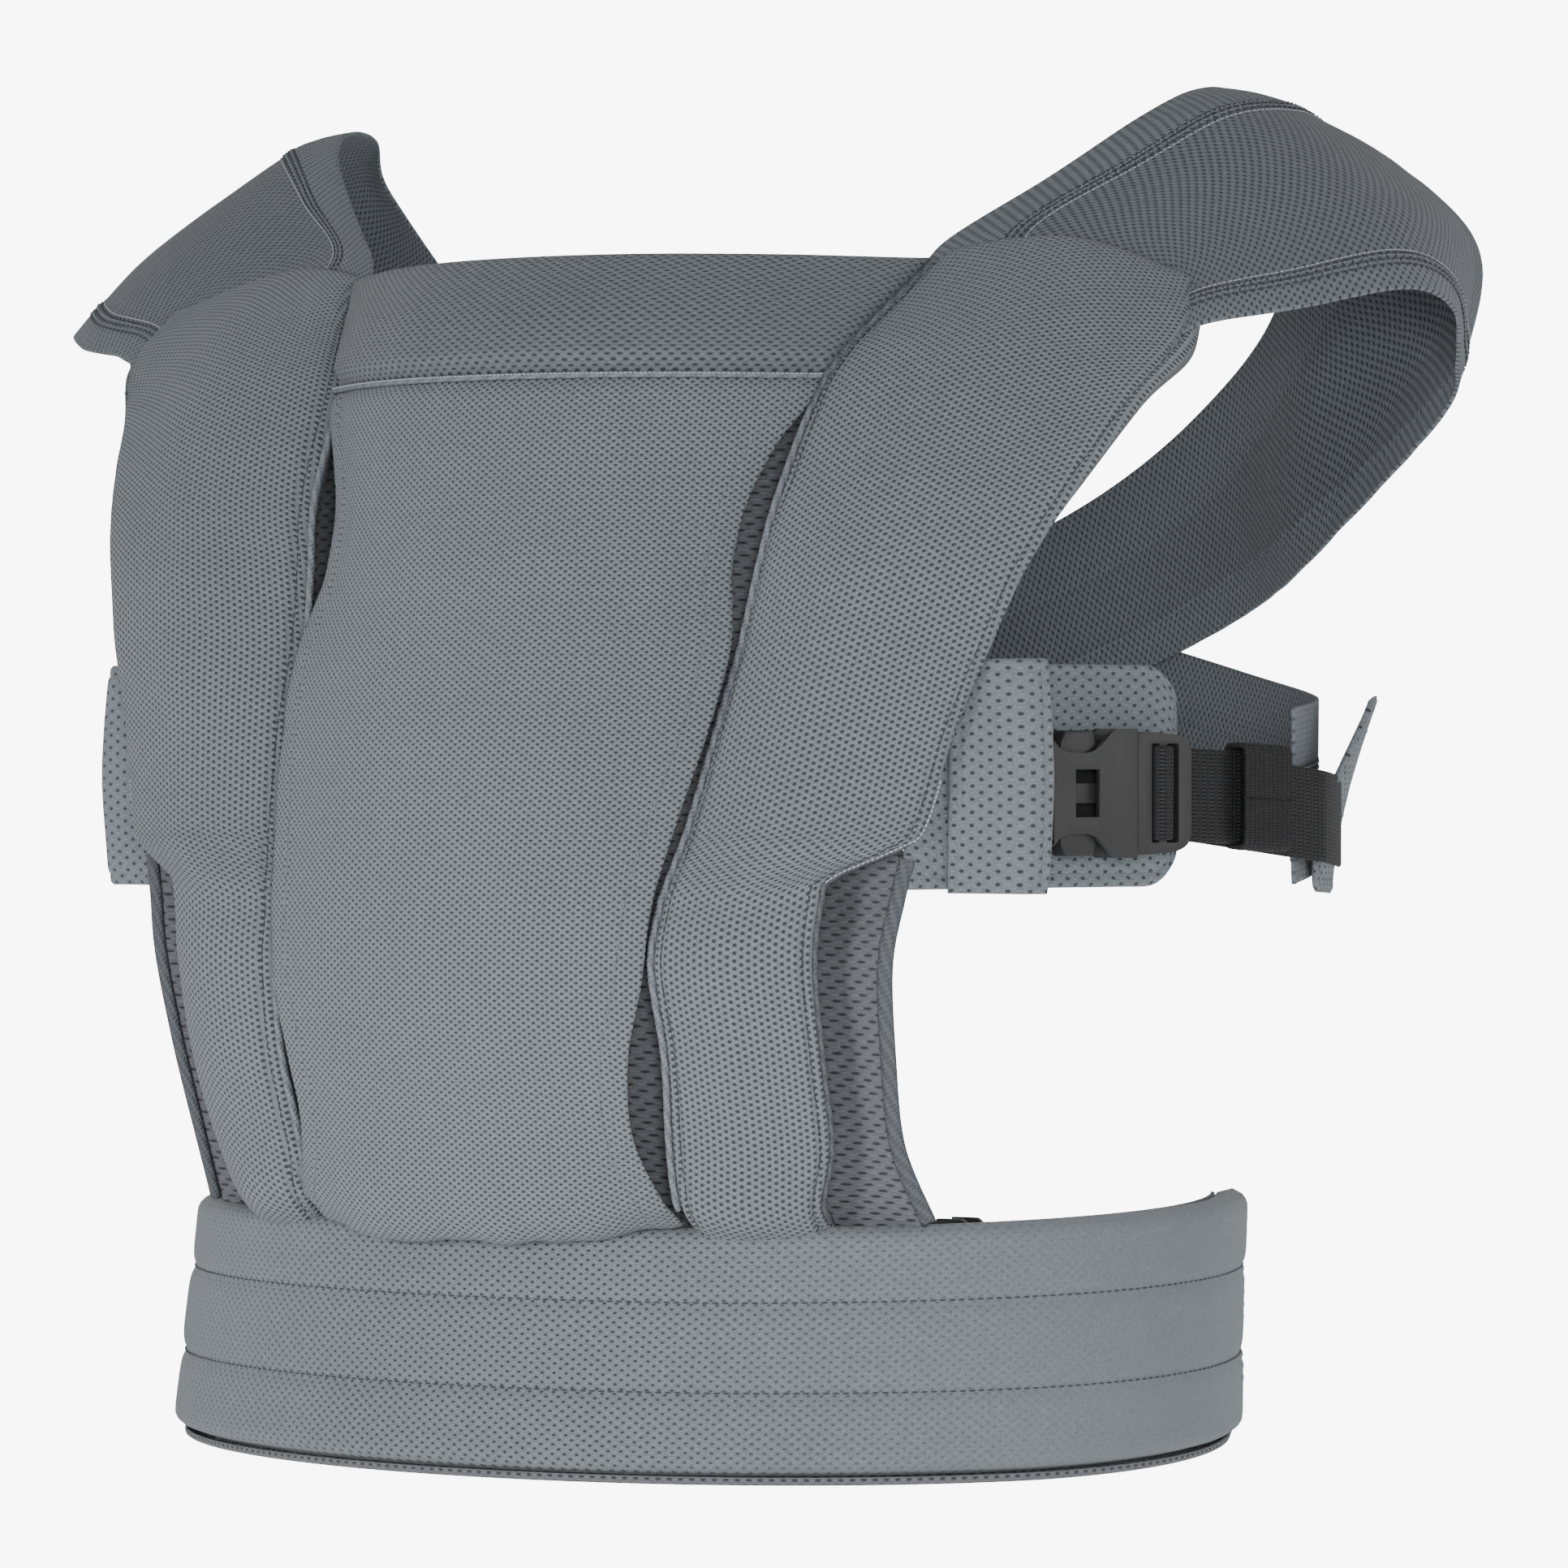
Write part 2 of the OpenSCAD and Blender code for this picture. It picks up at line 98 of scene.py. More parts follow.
class Surface:
    """A smooth surface through rows of points, evenly sampled, with its lengths in mm."""

    def __init__(self, rows, nu, nv):
        rows = np.asarray(rows, float)
        fine = np.linspace(0, 1, 301)
        mid = spline(spline(rows.transpose(1, 0, 2), [0.5])[0], fine)
        grid = spline(rows, even(mid, nv))
        across = np.linspace(0, 1, 61)
        dense = spline(grid.transpose(1, 0, 2), across).transpose(1, 0, 2)
        self.frames(np.array([resample(line, across, even(line, nu)) for line in dense]))

    @classmethod
    def from_grid(cls, P):
        S = cls.__new__(cls)
        S.frames(P)
        return S

    def frames(self, P):
        self.P, self.nu, self.nv = P, P.shape[1] - 1, P.shape[0] - 1
        du, dv = np.gradient(P, axis=1), np.gradient(P, axis=0)
        n = np.cross(du, dv)
        self.N = n / np.maximum(np.linalg.norm(n, axis=2, keepdims=True), 1e-9)
        seg_u = np.linalg.norm(np.diff(P, axis=1), axis=2)
        self.left = np.c_[np.zeros(len(P)), np.cumsum(seg_u, axis=1)]
        self.width = self.left[:, -1:]
        self.right = self.width - self.left
        self.up = lengths(P[:, self.nu // 2])[:, None] * np.ones((1, self.nu + 1))
        self.down = self.up[-1:, :] - self.up
        self.uv = np.dstack([self.left - self.width / 2, self.up])

    def area(self):
        cells = np.cross(np.gradient(self.P, axis=1), np.gradient(self.P, axis=0))
        return float(np.linalg.norm(cells, axis=2).mean() * self.nu * self.nv)

    def edge(self):
        """Distance to the nearest edge."""
        return np.minimum(np.minimum(self.left, self.right), np.minimum(self.up, self.down))

    def noise(self, scale, seed, octaves=3, across=1.0, along=1.0):
        return noise2(self.uv[..., 0] * across, self.uv[..., 1] * along, scale, seed, octaves)

    def width_at(self, v):
        return np.interp(v, np.linspace(0, 1, self.nv + 1), self.width[:, 0])

    def at(self, u, v, offset=0.0, height=None):
        """Points on the surface at fractions u, v, raised by height (an array like the grid) plus offset."""
        s, t = np.clip(u, 0, 1) * self.nu, np.clip(v, 0, 1) * self.nv
        i, j = np.minimum(s.astype(int), self.nu - 1), np.minimum(t.astype(int), self.nv - 1)
        a, b = (s - i)[:, None], (t - j)[:, None]
        row = lambda A, j: A[j, i] * (1 - a) + A[j, i + 1] * a
        mix = lambda A: row(A, j) * (1 - b) + row(A, j + 1) * b
        p, n = mix(self.P), mix(self.N)
        if height is not None:
            p = p + n * mix(height[..., None])
        return p + n * offset, n


def mm(P):
    """Table millimetres to the frame's metres."""
    return (np.asarray(P, float) + SHIFT) * 0.001


def make_mesh(name, verts, faces, uvs=None, attrs=None, slots=None):
    """verts in mm before the shift. uvs and attrs are per vertex."""
    me = bpy.data.meshes.new(name)
    me.from_pydata([tuple(v) for v in mm(verts)], [], [tuple(int(i) for i in f) for f in faces])
    me.polygons.foreach_set("use_smooth", np.ones(len(me.polygons), bool))
    if slots is not None:
        me.polygons.foreach_set("material_index", np.asarray(slots, np.int32))
    if uvs is not None:
        layer = me.uv_layers.new(name="mm")
        idx = np.empty(len(me.loops), np.int32)
        me.loops.foreach_get("vertex_index", idx)
        layer.data.foreach_set("uv", np.asarray(uvs, np.float32)[idx].ravel())
    for key, values in (attrs or {}).items():
        layer = me.attributes.new(key, "FLOAT", "POINT")
        layer.data.foreach_set("value", np.asarray(values, np.float32).ravel())
    me.update()
    ob = bpy.data.objects.new(name, me)
    scene.collection.objects.link(ob)
    return ob


def grid_faces(nu, nv, base=0):
    w = nu + 1
    j, i = np.mgrid[0:nv, 0:nu]
    a = (j * w + i).ravel() + base
    return np.c_[a, a + 1, a + 1 + w, a + w]


def sheet_solid(name, S, outer, inner, mats, attrs=None):
    """Closed piece between two offsets (mm, arrays or numbers) of a surface. The second material is the back."""
    one = np.ones(S.P.shape[:2])
    verts = np.r_[tuple((S.P + S.N * (offset * one)[..., None]).reshape(-1, 3) for offset in (outer, inner))]
    n, w = one.size, S.nu + 1
    rim = np.r_[
        np.arange(0, S.nu), np.arange(S.nu, n - 1, w), np.arange(n - 1, n - 1 - S.nu, -1), np.arange(n - w, 0, -w)]
    nxt = np.roll(rim, -1)
    front, rear = grid_faces(S.nu, S.nv), grid_faces(S.nu, S.nv, n)[:, ::-1]
    faces = np.r_[front, rear, np.c_[rim + n, nxt + n, nxt, rim]]
    slots = np.zeros(len(faces))
    slots[len(front):len(front) + len(rear)] = len(mats) - 1
    attrs = {k: np.tile((v * one).ravel(), 2) for k, v in (attrs or {}).items()}
    ob = make_mesh(name, verts, faces, np.tile(S.uv.reshape(-1, 2), (2, 1)), attrs, slots)
    for m in mats:
        ob.data.materials.append(m)
    return ob


def loft_faces(k, m):
    """Faces of a closed loft through k rings of m points."""
    faces = [(j * m + i, j * m + (i + 1) % m, (j + 1) * m + (i + 1) % m, (j + 1) * m + i)
             for j in range(k - 1) for i in range(m)]
    return faces + [tuple(range(m - 1, -1, -1)), tuple((k - 1) * m + i for i in range(m))]


def rounded(d, r):
    """0 at an edge, 1 from r inwards, a quarter circle between."""
    q = np.clip(d / r, 0, 1)
    return np.sqrt(np.maximum(0, 1 - (1 - q) ** 2))


def dent(d, centre, width):
    """1 on a stitched line, falling off over width."""
    return np.exp(-(((d - centre) / width) ** 2))


def noise2(x, y, scale, seed, octaves=3):
    """Smooth value noise, about -1..1, on arrays of mm."""
    out, amp, total = 0.0, 1.0, 0.0
    for o in range(octaves):
        r = np.random.default_rng(seed * 31 + o)
        tab = r.uniform(-1, 1, (64, 64))
        u, v = x / scale, y / scale
        i, j = np.floor(u).astype(int), np.floor(v).astype(int)
        a, b = u - i, v - j
        a, b = a * a * (3 - 2 * a), b * b * (3 - 2 * b)
        t = lambda p, q: tab[p % 64, q % 64]
        row = lambda q: t(i, q) * (1 - a) + t(i + 1, q) * a
        out = out + amp * (row(j) * (1 - b) + row(j + 1) * b)
        total += amp
        amp *= 0.5
        scale = scale * 0.5
    return out / total


def flip(rows):
    """The same rows for the other side of the part."""
    rows = np.asarray(rows, float)[:, ::-1].copy()
    rows[..., 0] *= -1
    return rows


def tube(name, path, normals, rx, ry, mat, *nodes, slot="piping"):
    """Rounded strip sewn along a path, rx half across and ry half along the normals."""
    sides = 10
    t = unit(np.gradient(path, axis=0))
    b = unit(np.cross(t, normals))
    n = np.cross(b, t)
    ang = np.linspace(0, 2 * math.pi, sides, endpoint=False)
    sq = lambda x: np.sign(x) * np.abs(x) ** 0.75
    V = path[:, None] + (b[:, None] * (rx * sq(np.cos(ang)))[None, :, None]
                         + n[:, None] * (ry * sq(np.sin(ang)))[None, :, None])
    k = len(path)
    girth = ang / (2 * math.pi) * (rx + ry) * math.pi
    uv = np.dstack([np.tile(girth, (k, 1)), np.tile(lengths(path)[:, None], (1, sides))]).reshape(-1, 2)
    ob = make_mesh(name, V.reshape(-1, 3), loft_faces(k, sides), uv)
    ob.data.materials.append(mat)
    place(ob, "carrier", slot, *nodes)


class Stitches:
    """Collects short thread lengths into one mesh."""

    def __init__(self):
        self.v, self.f = [], []

    def line(self, P, N, pitch=3.0, fill=0.72, r=0.26, lift=0.12):
        seg = lengths(P)
        count = max(1, int(seg[-1] / pitch))
        for k in range(count):
            a = (k + 0.5 - fill / 2) * seg[-1] / count
            b = (k + 0.5 + fill / 2) * seg[-1] / count
            q = np.array([a, a + (b - a) * 0.2, (a + b) / 2, b - (b - a) * 0.2, b])
            c, n = resample(P, seg, q), unit(resample(N, seg, q))
            t = c[-1] - c[0]
            t /= max(np.linalg.norm(t), 1e-9)
            s = np.cross(t, n)
            rad = np.array([0.25, 0.85, 1.0, 0.85, 0.25]) * r
            up = np.array([-0.25, 0.15, 0.3, 0.15, -0.25]) * r + lift
            base = len(self.v)
            self.f += [tuple(base + i for i in face) for face in loft_faces(5, 6)]
            for m in range(5):
                for ang in np.radians((0, 60, 120, 180, 240, 300)):
                    ca, sa = math.cos(ang), math.sin(ang)
                    self.v.append(c[m] + n[m] * (up[m] + rad[m] * sa) + s[m] * rad[m] * ca)

    def build(self, name, mat):
        ob = make_mesh(name, np.array(self.v), self.f)
        ob.data.materials.append(mat)
        return ob


# ---- materials
def set_inputs(node, **values):
    """Values of a node's own sockets, with _ for a space."""
    for key, value in values.items():
        node.inputs[key.replace("_", " ")].default_value = value


class Nodes:
    """A material and its node tree."""

    def __init__(self, name):
        self.mat = bpy.data.materials.new(name)
        self.mat.use_nodes = True
        self.nt = self.mat.node_tree
        self.p = self.nt.nodes["Principled BSDF"]

    def set(self, **values):
        set_inputs(self.p, **values)

    def node(self, kind, **values):
        n = self.nt.nodes.new("ShaderNode" + kind)
        set_inputs(n, **values)
        return n

    def math(self, op, a, b=None, c=None, clamp=False):
        n = self.node("Math")
        n.operation = op
        n.use_clamp = clamp
        for i, x in enumerate((a, b, c)):
            if isinstance(x, (int, float)):
                n.inputs[i].default_value = x
            elif x is not None:
                self.nt.links.new(x, n.inputs[i])
        return n.outputs[0]

    def mul(self, a, b):
        return self.math("MULTIPLY", a, b)

    def add(self, a, b):
        return self.math("ADD", a, b)

    def uv(self):
        n, s = self.node("UVMap"), self.node("SeparateXYZ")
        n.uv_map = "mm"
        self.nt.links.new(n.outputs[0], s.inputs[0])
        return s.outputs[0], s.outputs[1]

    def attr(self, name):
        n = self.node("Attribute")
        n.attribute_name = name
        return n.outputs["Fac"]

    def smooth(self, x, lo, hi):
        n = self.node("MapRange", From_Min=lo, From_Max=hi)
        n.interpolation_type = "SMOOTHSTEP"
        self.nt.links.new(x, n.inputs["Value"])
        return n.outputs["Result"]

    def noise(self, scale, detail=3.0):
        n = self.node("TexNoise", Scale=scale, Detail=detail)
        self.nt.links.new(self.node("TexCoord").outputs["Object"], n.inputs["Vector"])
        return n.outputs[0]

    def mix(self, fac, a, b):
        n = self.node("Mix")
        n.data_type = "RGBA"
        for s, x in zip((n.inputs[0], n.inputs[6], n.inputs[7]), (fac, a, b)):
            if isinstance(x, (int, float)):
                s.default_value = x
            elif isinstance(x, tuple):
                s.default_value = (*x, 1.0)
            else:
                self.nt.links.new(x, s)
        return n.outputs[2]

    def colour(self, x):
        self.nt.links.new(x, self.p.inputs["Base Color"])

    def bump(self, height, distance):
        n = self.node("Bump", Distance=distance, Strength=1.0)
        self.nt.links.new(height, n.inputs["Height"])
        self.nt.links.new(n.outputs[0], self.p.inputs["Normal"])

    def cells(self, u, v, pu, pv, ru, rv, soft=0.35, slant=0.0):
        """Staggered rows of oval spots, pu by pv mm apart: 1 inside a spot, 0 between them."""
        if slant:
            u = self.add(u, self.mul(v, slant))
        y = self.math("DIVIDE", v, pv)
        half = self.mul(self.math("PINGPONG", self.math("FLOOR", y), 1.0), 0.5)
        x = self.add(self.math("DIVIDE", u, pu), half)
        dx, dy = (self.mul(self.math("SUBTRACT", self.math("FRACT", q), 0.5), pitch / radius)
                  for q, pitch, radius in ((x, pu, ru), (y, pv, rv)))
        d = self.math("SQRT", self.add(self.mul(dx, dx), self.mul(dy, dy)))
        return self.smooth(d, 1.0 + soft, 1.0 - soft)


def tone(colour, k):
    """The colour made lighter or darker."""
    return tuple(min(1.0, c * k) for c in colour)


def mesh_fabric(name, base, dark, pu, pv, ru, rv, slant=0.0, depth=0.35, fade=None, lift=None):
    """Knitted cloth with rows of small holes and raised loops between them. The holes and the knit's small hollows are
    painted darker as shade, and the loops lighter as a painted highlight; where lift names an attribute, its share
    paints the cloth lighter as painted light.
    """
    m = Nodes(name)
    u, v = m.uv()
    # hole: where the holes are; the holes are not cut, and their dark colour below is painted shade
    hole = m.cells(u, v, pu, pv, ru, rv, 0.38, slant)
    # loop: the raised loops between the holes, painted lighter below as a highlight
    loop = m.cells(m.add(u, pu * 0.5), v, pu, pv, ru * 0.95, rv * 0.85, 0.7, slant)
    knit = 0.8
    # rib: the knit's small hollows, lowered by the bump and painted darker below as shade
    rib = m.cells(u, v, knit, knit * 0.8, knit * 0.36, knit * 0.26, 0.6)
    big, fine, fuzz, wide = m.noise(9.0, 4.0), m.noise(520.0), m.noise(1500.0, 2.0), m.noise(38.0)
    if fade:
        hole, loop = m.mul(hole, m.attr(fade)), m.mul(loop, m.attr(fade))
    shade = m.add(m.mul(big, 0.16), m.add(m.mul(fine, 0.20), m.mul(wide, 0.10)))
    light, low = tone(base, 1.34), tone(base, 0.70)
    ground = m.mix(m.math("MULTIPLY_ADD", shade, 2.6, -0.12, clamp=True), low, light)
    # painted light: the lift attribute's share makes the cloth lighter
    if lift:
        ground = m.mix(m.mul(m.attr(lift), 0.95), ground, light)
    # painted shade in the knit's small hollows
    ground = m.mix(m.mul(rib, 0.35), ground, low)
    # painted highlight on the raised loops
    ground = m.mix(m.mul(loop, 0.42), ground, tone(base, 1.75))
    ground = m.mix(m.math("MULTIPLY_ADD", fuzz, 1.6, -0.62, clamp=True), ground, tone(base, 1.5))
    # painted shade: the holes take the dark colour
    m.colour(m.mix(m.mul(hole, 0.92), ground, dark))
    m.set(Roughness=0.9, Specular_IOR_Level=0.2, Sheen_Weight=0.12, Sheen_Roughness=0.6)
    h = m.math("SUBTRACT", m.math("MULTIPLY_ADD", loop, 0.5, m.mul(rib, -0.15)), hole)
    m.bump(m.add(h, m.mul(fine, 0.5)), depth * 0.001)
    return m.mat


def twill(name, base):
    """Smooth binding cloth with slanted ribs."""
    m = Nodes(name)
    u, v = m.uv()
    pitch = 1.1
    rib = m.cells(u, v, pitch * 1.6, pitch, pitch * 0.35, pitch * 0.55, 0.5, 0.5)
    fine = m.noise(600.0, 2.0)
    # the rib spots, which the bump lowers, are painted darker: painted shade in the weave's grooves
    m.colour(m.mix(m.mul(rib, 0.5), m.mix(fine, base, tone(base, 1.25)), tone(base, 0.62)))
    m.set(Roughness=0.85, Specular_IOR_Level=0.25)
    m.bump(m.math("SUBTRACT", m.mul(fine, 0.3), rib), 0.00025)
    return m.mat


def webbing_mat(name, base, rib_w=1.0, rib_l=1.5, gloss=0.62):
    """Woven strap: lengthwise ribs crossed by picks."""
    m = Nodes(name)
    u, v = m.uv()
    rib = m.smooth(m.math("PINGPONG", m.math("DIVIDE", u, rib_w), 0.5), 0.02, 0.30)
    pick = m.cells(u, v, rib_w, rib_l, rib_w * 0.42, rib_l * 0.40, 0.5)
    fine = m.add(m.noise(900.0, 2.0), 0.45)
    # the colour follows the weave's relief: raised ribs and picks are painted lighter as a highlight, and the grooves
    # between them darker as shade
    shade = m.math("MULTIPLY", m.add(m.mul(rib, 0.5), m.mul(pick, 0.5)), fine, clamp=True)
    m.colour(m.mix(shade, tone(base, 0.35), tone(base, 1.9)))
    m.set(Roughness=gloss, Specular_IOR_Level=0.35)
    m.bump(m.add(rib, pick), 0.00028)
    return m.mat


def plastic(name, base):
    m = Nodes(name)
    grain, broad = m.noise(1500.0), m.noise(60.0, 2.0)
    m.colour(m.mix(broad, tone(base, 0.8), tone(base, 1.35)))
    m.nt.links.new(m.math("MULTIPLY_ADD", broad, 0.16, 0.36), m.p.inputs["Roughness"])
    m.set(Specular_IOR_Level=0.34)
    m.bump(grain, 0.00006)
    return m.mat


def thread_mat(name, base):
    m = Nodes(name)
    m.colour(m.mix(m.noise(2500.0, 1.0), tone(base, 0.7), tone(base, 1.3)))
    m.set(Roughness=0.7)
    return m.mat


BLUE = (0.128, 0.148, 0.164)
# painted shade in the eyelet holes of the blue meshes
HOLE_SHADE = (0.022, 0.026, 0.031)
CHAR = (0.098, 0.104, 0.114)
main_cloth = mesh_fabric("air_mesh", BLUE, HOLE_SHADE, 2.6, 0.95, 0.46, 0.30)
strap_cloth = mesh_fabric("strap_mesh", BLUE, HOLE_SHADE, 3.4, 0.95, 0.48, 0.40, depth=0.45)
# the head support's cloth is darker than BLUE as painted shade, for the shade its upward faces are in
head_cloth = mesh_fabric("head_mesh", tone(BLUE, 0.78), HOLE_SHADE, 3.3, 1.05, 0.72, 0.26)
band_cloth = mesh_fabric("band_mesh", tone(BLUE, 0.94), HOLE_SHADE, 3.4, 1.25, 0.50, 0.32, fade="holes")
# the wrap straps' cloth is darker than BLUE as painted shade, for the shade on their upward faces; its hem attribute
# paints the hems lighter again
cap_cloth = mesh_fabric("wrap_mesh", tone(BLUE, 0.74), HOLE_SHADE, 3.2, 1.15, 0.66, 0.32, lift="hem")
wing_cloth = mesh_fabric("wing_mesh", BLUE, HOLE_SHADE, 5.2, 1.7, 0.62, 0.42, depth=0.45)
# the second colour of the dark and lining meshes is the painted shade in their holes
dark_cloth = mesh_fabric("dark_mesh", CHAR, (0.020, 0.022, 0.026), 6.3, 1.75, 1.4, 0.34, 0.35, 0.5)
lining_cloth = mesh_fabric("lining_mesh", CHAR, (0.026, 0.028, 0.032), 3.0, 1.2, 0.7, 0.28)
edge_cloth = twill("binding_cloth", (0.150, 0.170, 0.188))
dark_edge = twill("dark_binding", (0.075, 0.082, 0.092))
webbing = webbing_mat("webbing_weave", (0.0105, 0.0105, 0.0115))
elastic = webbing_mat("elastic_knit", (0.010, 0.010, 0.011), 1.6, 0.7, 0.75)
black = plastic("buckle_acetal", (0.019, 0.019, 0.020))
THREADS = {
    "light": thread_mat("thread_grey", (0.15, 0.172, 0.19)), "pale": thread_mat("thread_pale", (0.36, 0.39, 0.42)),
    "dark": thread_mat("thread_dark", (0.030, 0.034, 0.040)), "black": thread_mat("thread_black", (0.03, 0.03, 0.034))}


# ---- waistband
# the band's half axes and height, the angle it reaches round to, and how far its foot stands out
WAIST_A, WAIST_B, WAIST_H, REACH, LEAN = 157.0, 127.0, 67.0, 116.0, 9.0
threads = {}  # Stitches by (body, kind)
sheets = []  # (piece, surface, how it is held)


def stitch(body, kind="light"):
    return threads.setdefault((body, kind), Stitches())


def place(ob, body, slot, *nodes):
    """Puts a piece on its body, in place of its CAD nodes. slot is not used."""
    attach(ob, body)
    if nodes:
        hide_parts(*nodes)


def ring(phi, inset, v):
    """The band's surface at phi degrees from the front and v of its height, moved in by inset."""
    a, b = WAIST_A - inset, WAIST_B - inset
    r = np.radians(phi)
    return np.stack(np.broadcast_arrays(a * np.sin(r), -11 - LEAN * (1 - v) - b * np.cos(r), v * WAIST_H), -1)


def sewn_line(S, height, body="carrier", u=None, v=None, side=0.0, kind="light", pitch=3.0,
              u0=0.0, u1=1.0, v0=0.0, v1=1.0, r=0.26):
    """Thread along a line of constant u or v, or a fixed distance (mm) from the left (side > 0) or right (< 0) edge."""
    if v is not None:
        us = np.linspace(u0, u1, S.nu * 2)
        vs = np.full_like(us, v)
    else:
        vs = np.linspace(v0, v1, S.nv * 2)
        if side:
            us = side / S.width_at(vs) + (side < 0)
        else:
            us = np.full_like(vs, u)
    P, N = S.at(us, vs, 0.0, height)
    stitch(body, kind).line(P, N, pitch, r=r)


def band_z(phi, v):
    """Height on the band: the top edge climbs to the left end, the bottom edge lifts and rounds off at both ends."""
    phi, v = np.broadcast_arrays(phi, v)
    end = (REACH - np.abs(phi)) * 2.45
    corner = 13 - np.sqrt(np.clip(169 - np.clip(13 - end, 0, 13) ** 2, 0, None))
    low = (3.5 * np.clip((np.abs(phi) - 62) / 54, 0, 1) ** 1.5 + corner) / WAIST_H
    high = 1 + (4.6 * np.clip((phi - 25) / 91, 0, 1) ** 1.2 - 0.25 * corner) / WAIST_H
    return low + v * (high - low)


SEAMS = (0.355, 0.705)  # quilting seams, as shares of the height
low_z = 2.7 / WAIST_H
phis = np.linspace(-REACH, REACH, 381)
zs = np.linspace(low_z, 1, 55)
band = Surface.from_grid(ring(phis[None, :], 4.5, band_z(phis[None, :], zs[:, None])))
V = np.repeat(zs[:, None], len(phis), 1)
along = band.uv[..., 0]
taper = np.clip((REACH - np.abs(phis)) / 9, 0, 1)[None, :] ** 0.5
edges = [low_z, SEAMS[0], SEAMS[1], 1.0]
puff = np.zeros_like(V)
for k in range(3):
    x = (V - edges[k]) / (edges[k + 1] - edges[k])
    prof = np.clip(1 - np.abs(2 * x - 1) ** (5.0 if k == 2 else 4.2), 0, 1) ** 0.6
    size = 1.9 + 0.35 * noise2(along, 0 * along, 55, 20 + k)
    puff = np.where((x >= 0) & (x <= 1), prof * size, puff)
pucker = 0
for k, seam in enumerate(SEAMS):
    d = np.abs(V - seam) * WAIST_H
    fold = noise2(along, d * 0.35 + 40 * k, 7.5, 5 + k, 2)
    pucker = pucker + np.exp(-d / 6.5) * (1 - np.exp(-((d / 1.0) ** 2))) * fold * 0.45
broad = noise2(along, V * WAIST_H * 0.6, 34, 9) * 0.35
uneven = (pucker + broad) * taper * rounded((1 - V) * WAIST_H, 6)
outer = 2.6 * (1 - V) ** 1.5 - 0.3 + puff * (0.4 + 0.6 * taper) + uneven
close = rounded(np.minimum((1 - V), (V - low_z)) * WAIST_H, 4.0)
mid = -3.0  # where the two faces meet at the edges
band_out = mid + (outer - mid) * close
band_in = mid + (-8.4 - mid) * close - 0.25
holes = np.clip(1.25 - np.abs(along) / 150, 0, 1)
cover = sheet_solid("waistband_cover", band, band_out, band_in, [band_cloth], {"holes": holes})
place(cover, "carrier", "main_fabric", "waistband_outer", "waistband_foam")
for seam in SEAMS:
    t = (seam - low_z) / (1 - low_z)
    sewn_line(band, band_out, v=t, u0=0.01, u1=0.99, pitch=2.6, r=0.24, kind="dark")
for sgn in (-1, 1):
    sewn_line(band, band_out, side=sgn * 6.0, v0=0.16, v1=0.9, pitch=3.2)

# the lining's section under the band and up its inner face: inset, height
section = ((4.6, 2.2), (4.9, 0.9), (7.5, 0.45), (11.8, 1.2), (13.6, 5), (14.2, 14), (14.3, 32), (14.3, 50),
           (14.0, 61), (12.9, 66.2))
prof = spline(section, np.linspace(0, 1, 41))
lphi = np.linspace(-REACH, REACH, 201)[None, :]
lining = Surface.from_grid(ring(lphi, prof[:, :1], band_z(lphi, prof[:, 1:] / WAIST_H)))
band_lining = sheet_solid("waistband_lining_cloth", lining, 0.55, -0.55, [lining_cloth])
place(band_lining, "carrier", "dark_mesh", "waistband_lining")
sheets.append((band_lining, lining, "stretched"))


# ---- belts
for side, name in SIDES:
    plan = [ring(p, 8.0, 1.0)[:2] for p in (REACH - 8, REACH, 124, 132, 140, 147)]
    plan += [(69, 97.5), (54, 104.5), (36, 107.5)]
    rows = [[(x, y, WAIST_H / 2 - 3 + s * (27 - 6 * i / (len(plan) - 1))) for i, (x, y) in enumerate(plan)]
            for s in (-1, -0.4, 0.4, 1)]
    S = Surface(rows if side > 0 else flip(rows), 110, 34)
    across = np.minimum(S.up, S.down)
    crown = rounded(across, 2.2)
    h = 0.8 * crown + 1.0 * rounded(across - 5, 14) - 0.55 * dent(across, 4.5, 0.9) + 0.35 * S.noise(26, 31)
    ob = sheet_solid("waist_belt_cloth_" + name, S, h, -0.4 - 1.5 * crown - 0.5 * rounded(across - 5, 14), [wing_cloth])
    place(ob, "carrier", "main_fabric", "waist_belt_" + name)
    for v in (4.5 / S.up[-1, 55], 1 - 4.5 / S.up[-1, 55]):
        sewn_line(S, h, v=v, u0=0.02, u1=0.98)
    u_end = 0.94 if side > 0 else 0.06
    for du in (-0.012, 0.0, 0.012):
        sewn_line(S, h, u=u_end + du, v0=0.12, v1=0.88, kind="black", pitch=2.4)


# ---- panels
def spread(half):
    """Whole rows from (half width, edge depth, centre depth, height, lift of the edges)."""
    return [[(h[0] * x, h[2] + (h[1] - h[2]) * abs(x) ** 2.2, h[3] + sum(h[4:]) * abs(x) ** 4)
             for x in (-1, -0.72, -0.38, 0, 0.38, 0.72, 1)] for h in half]


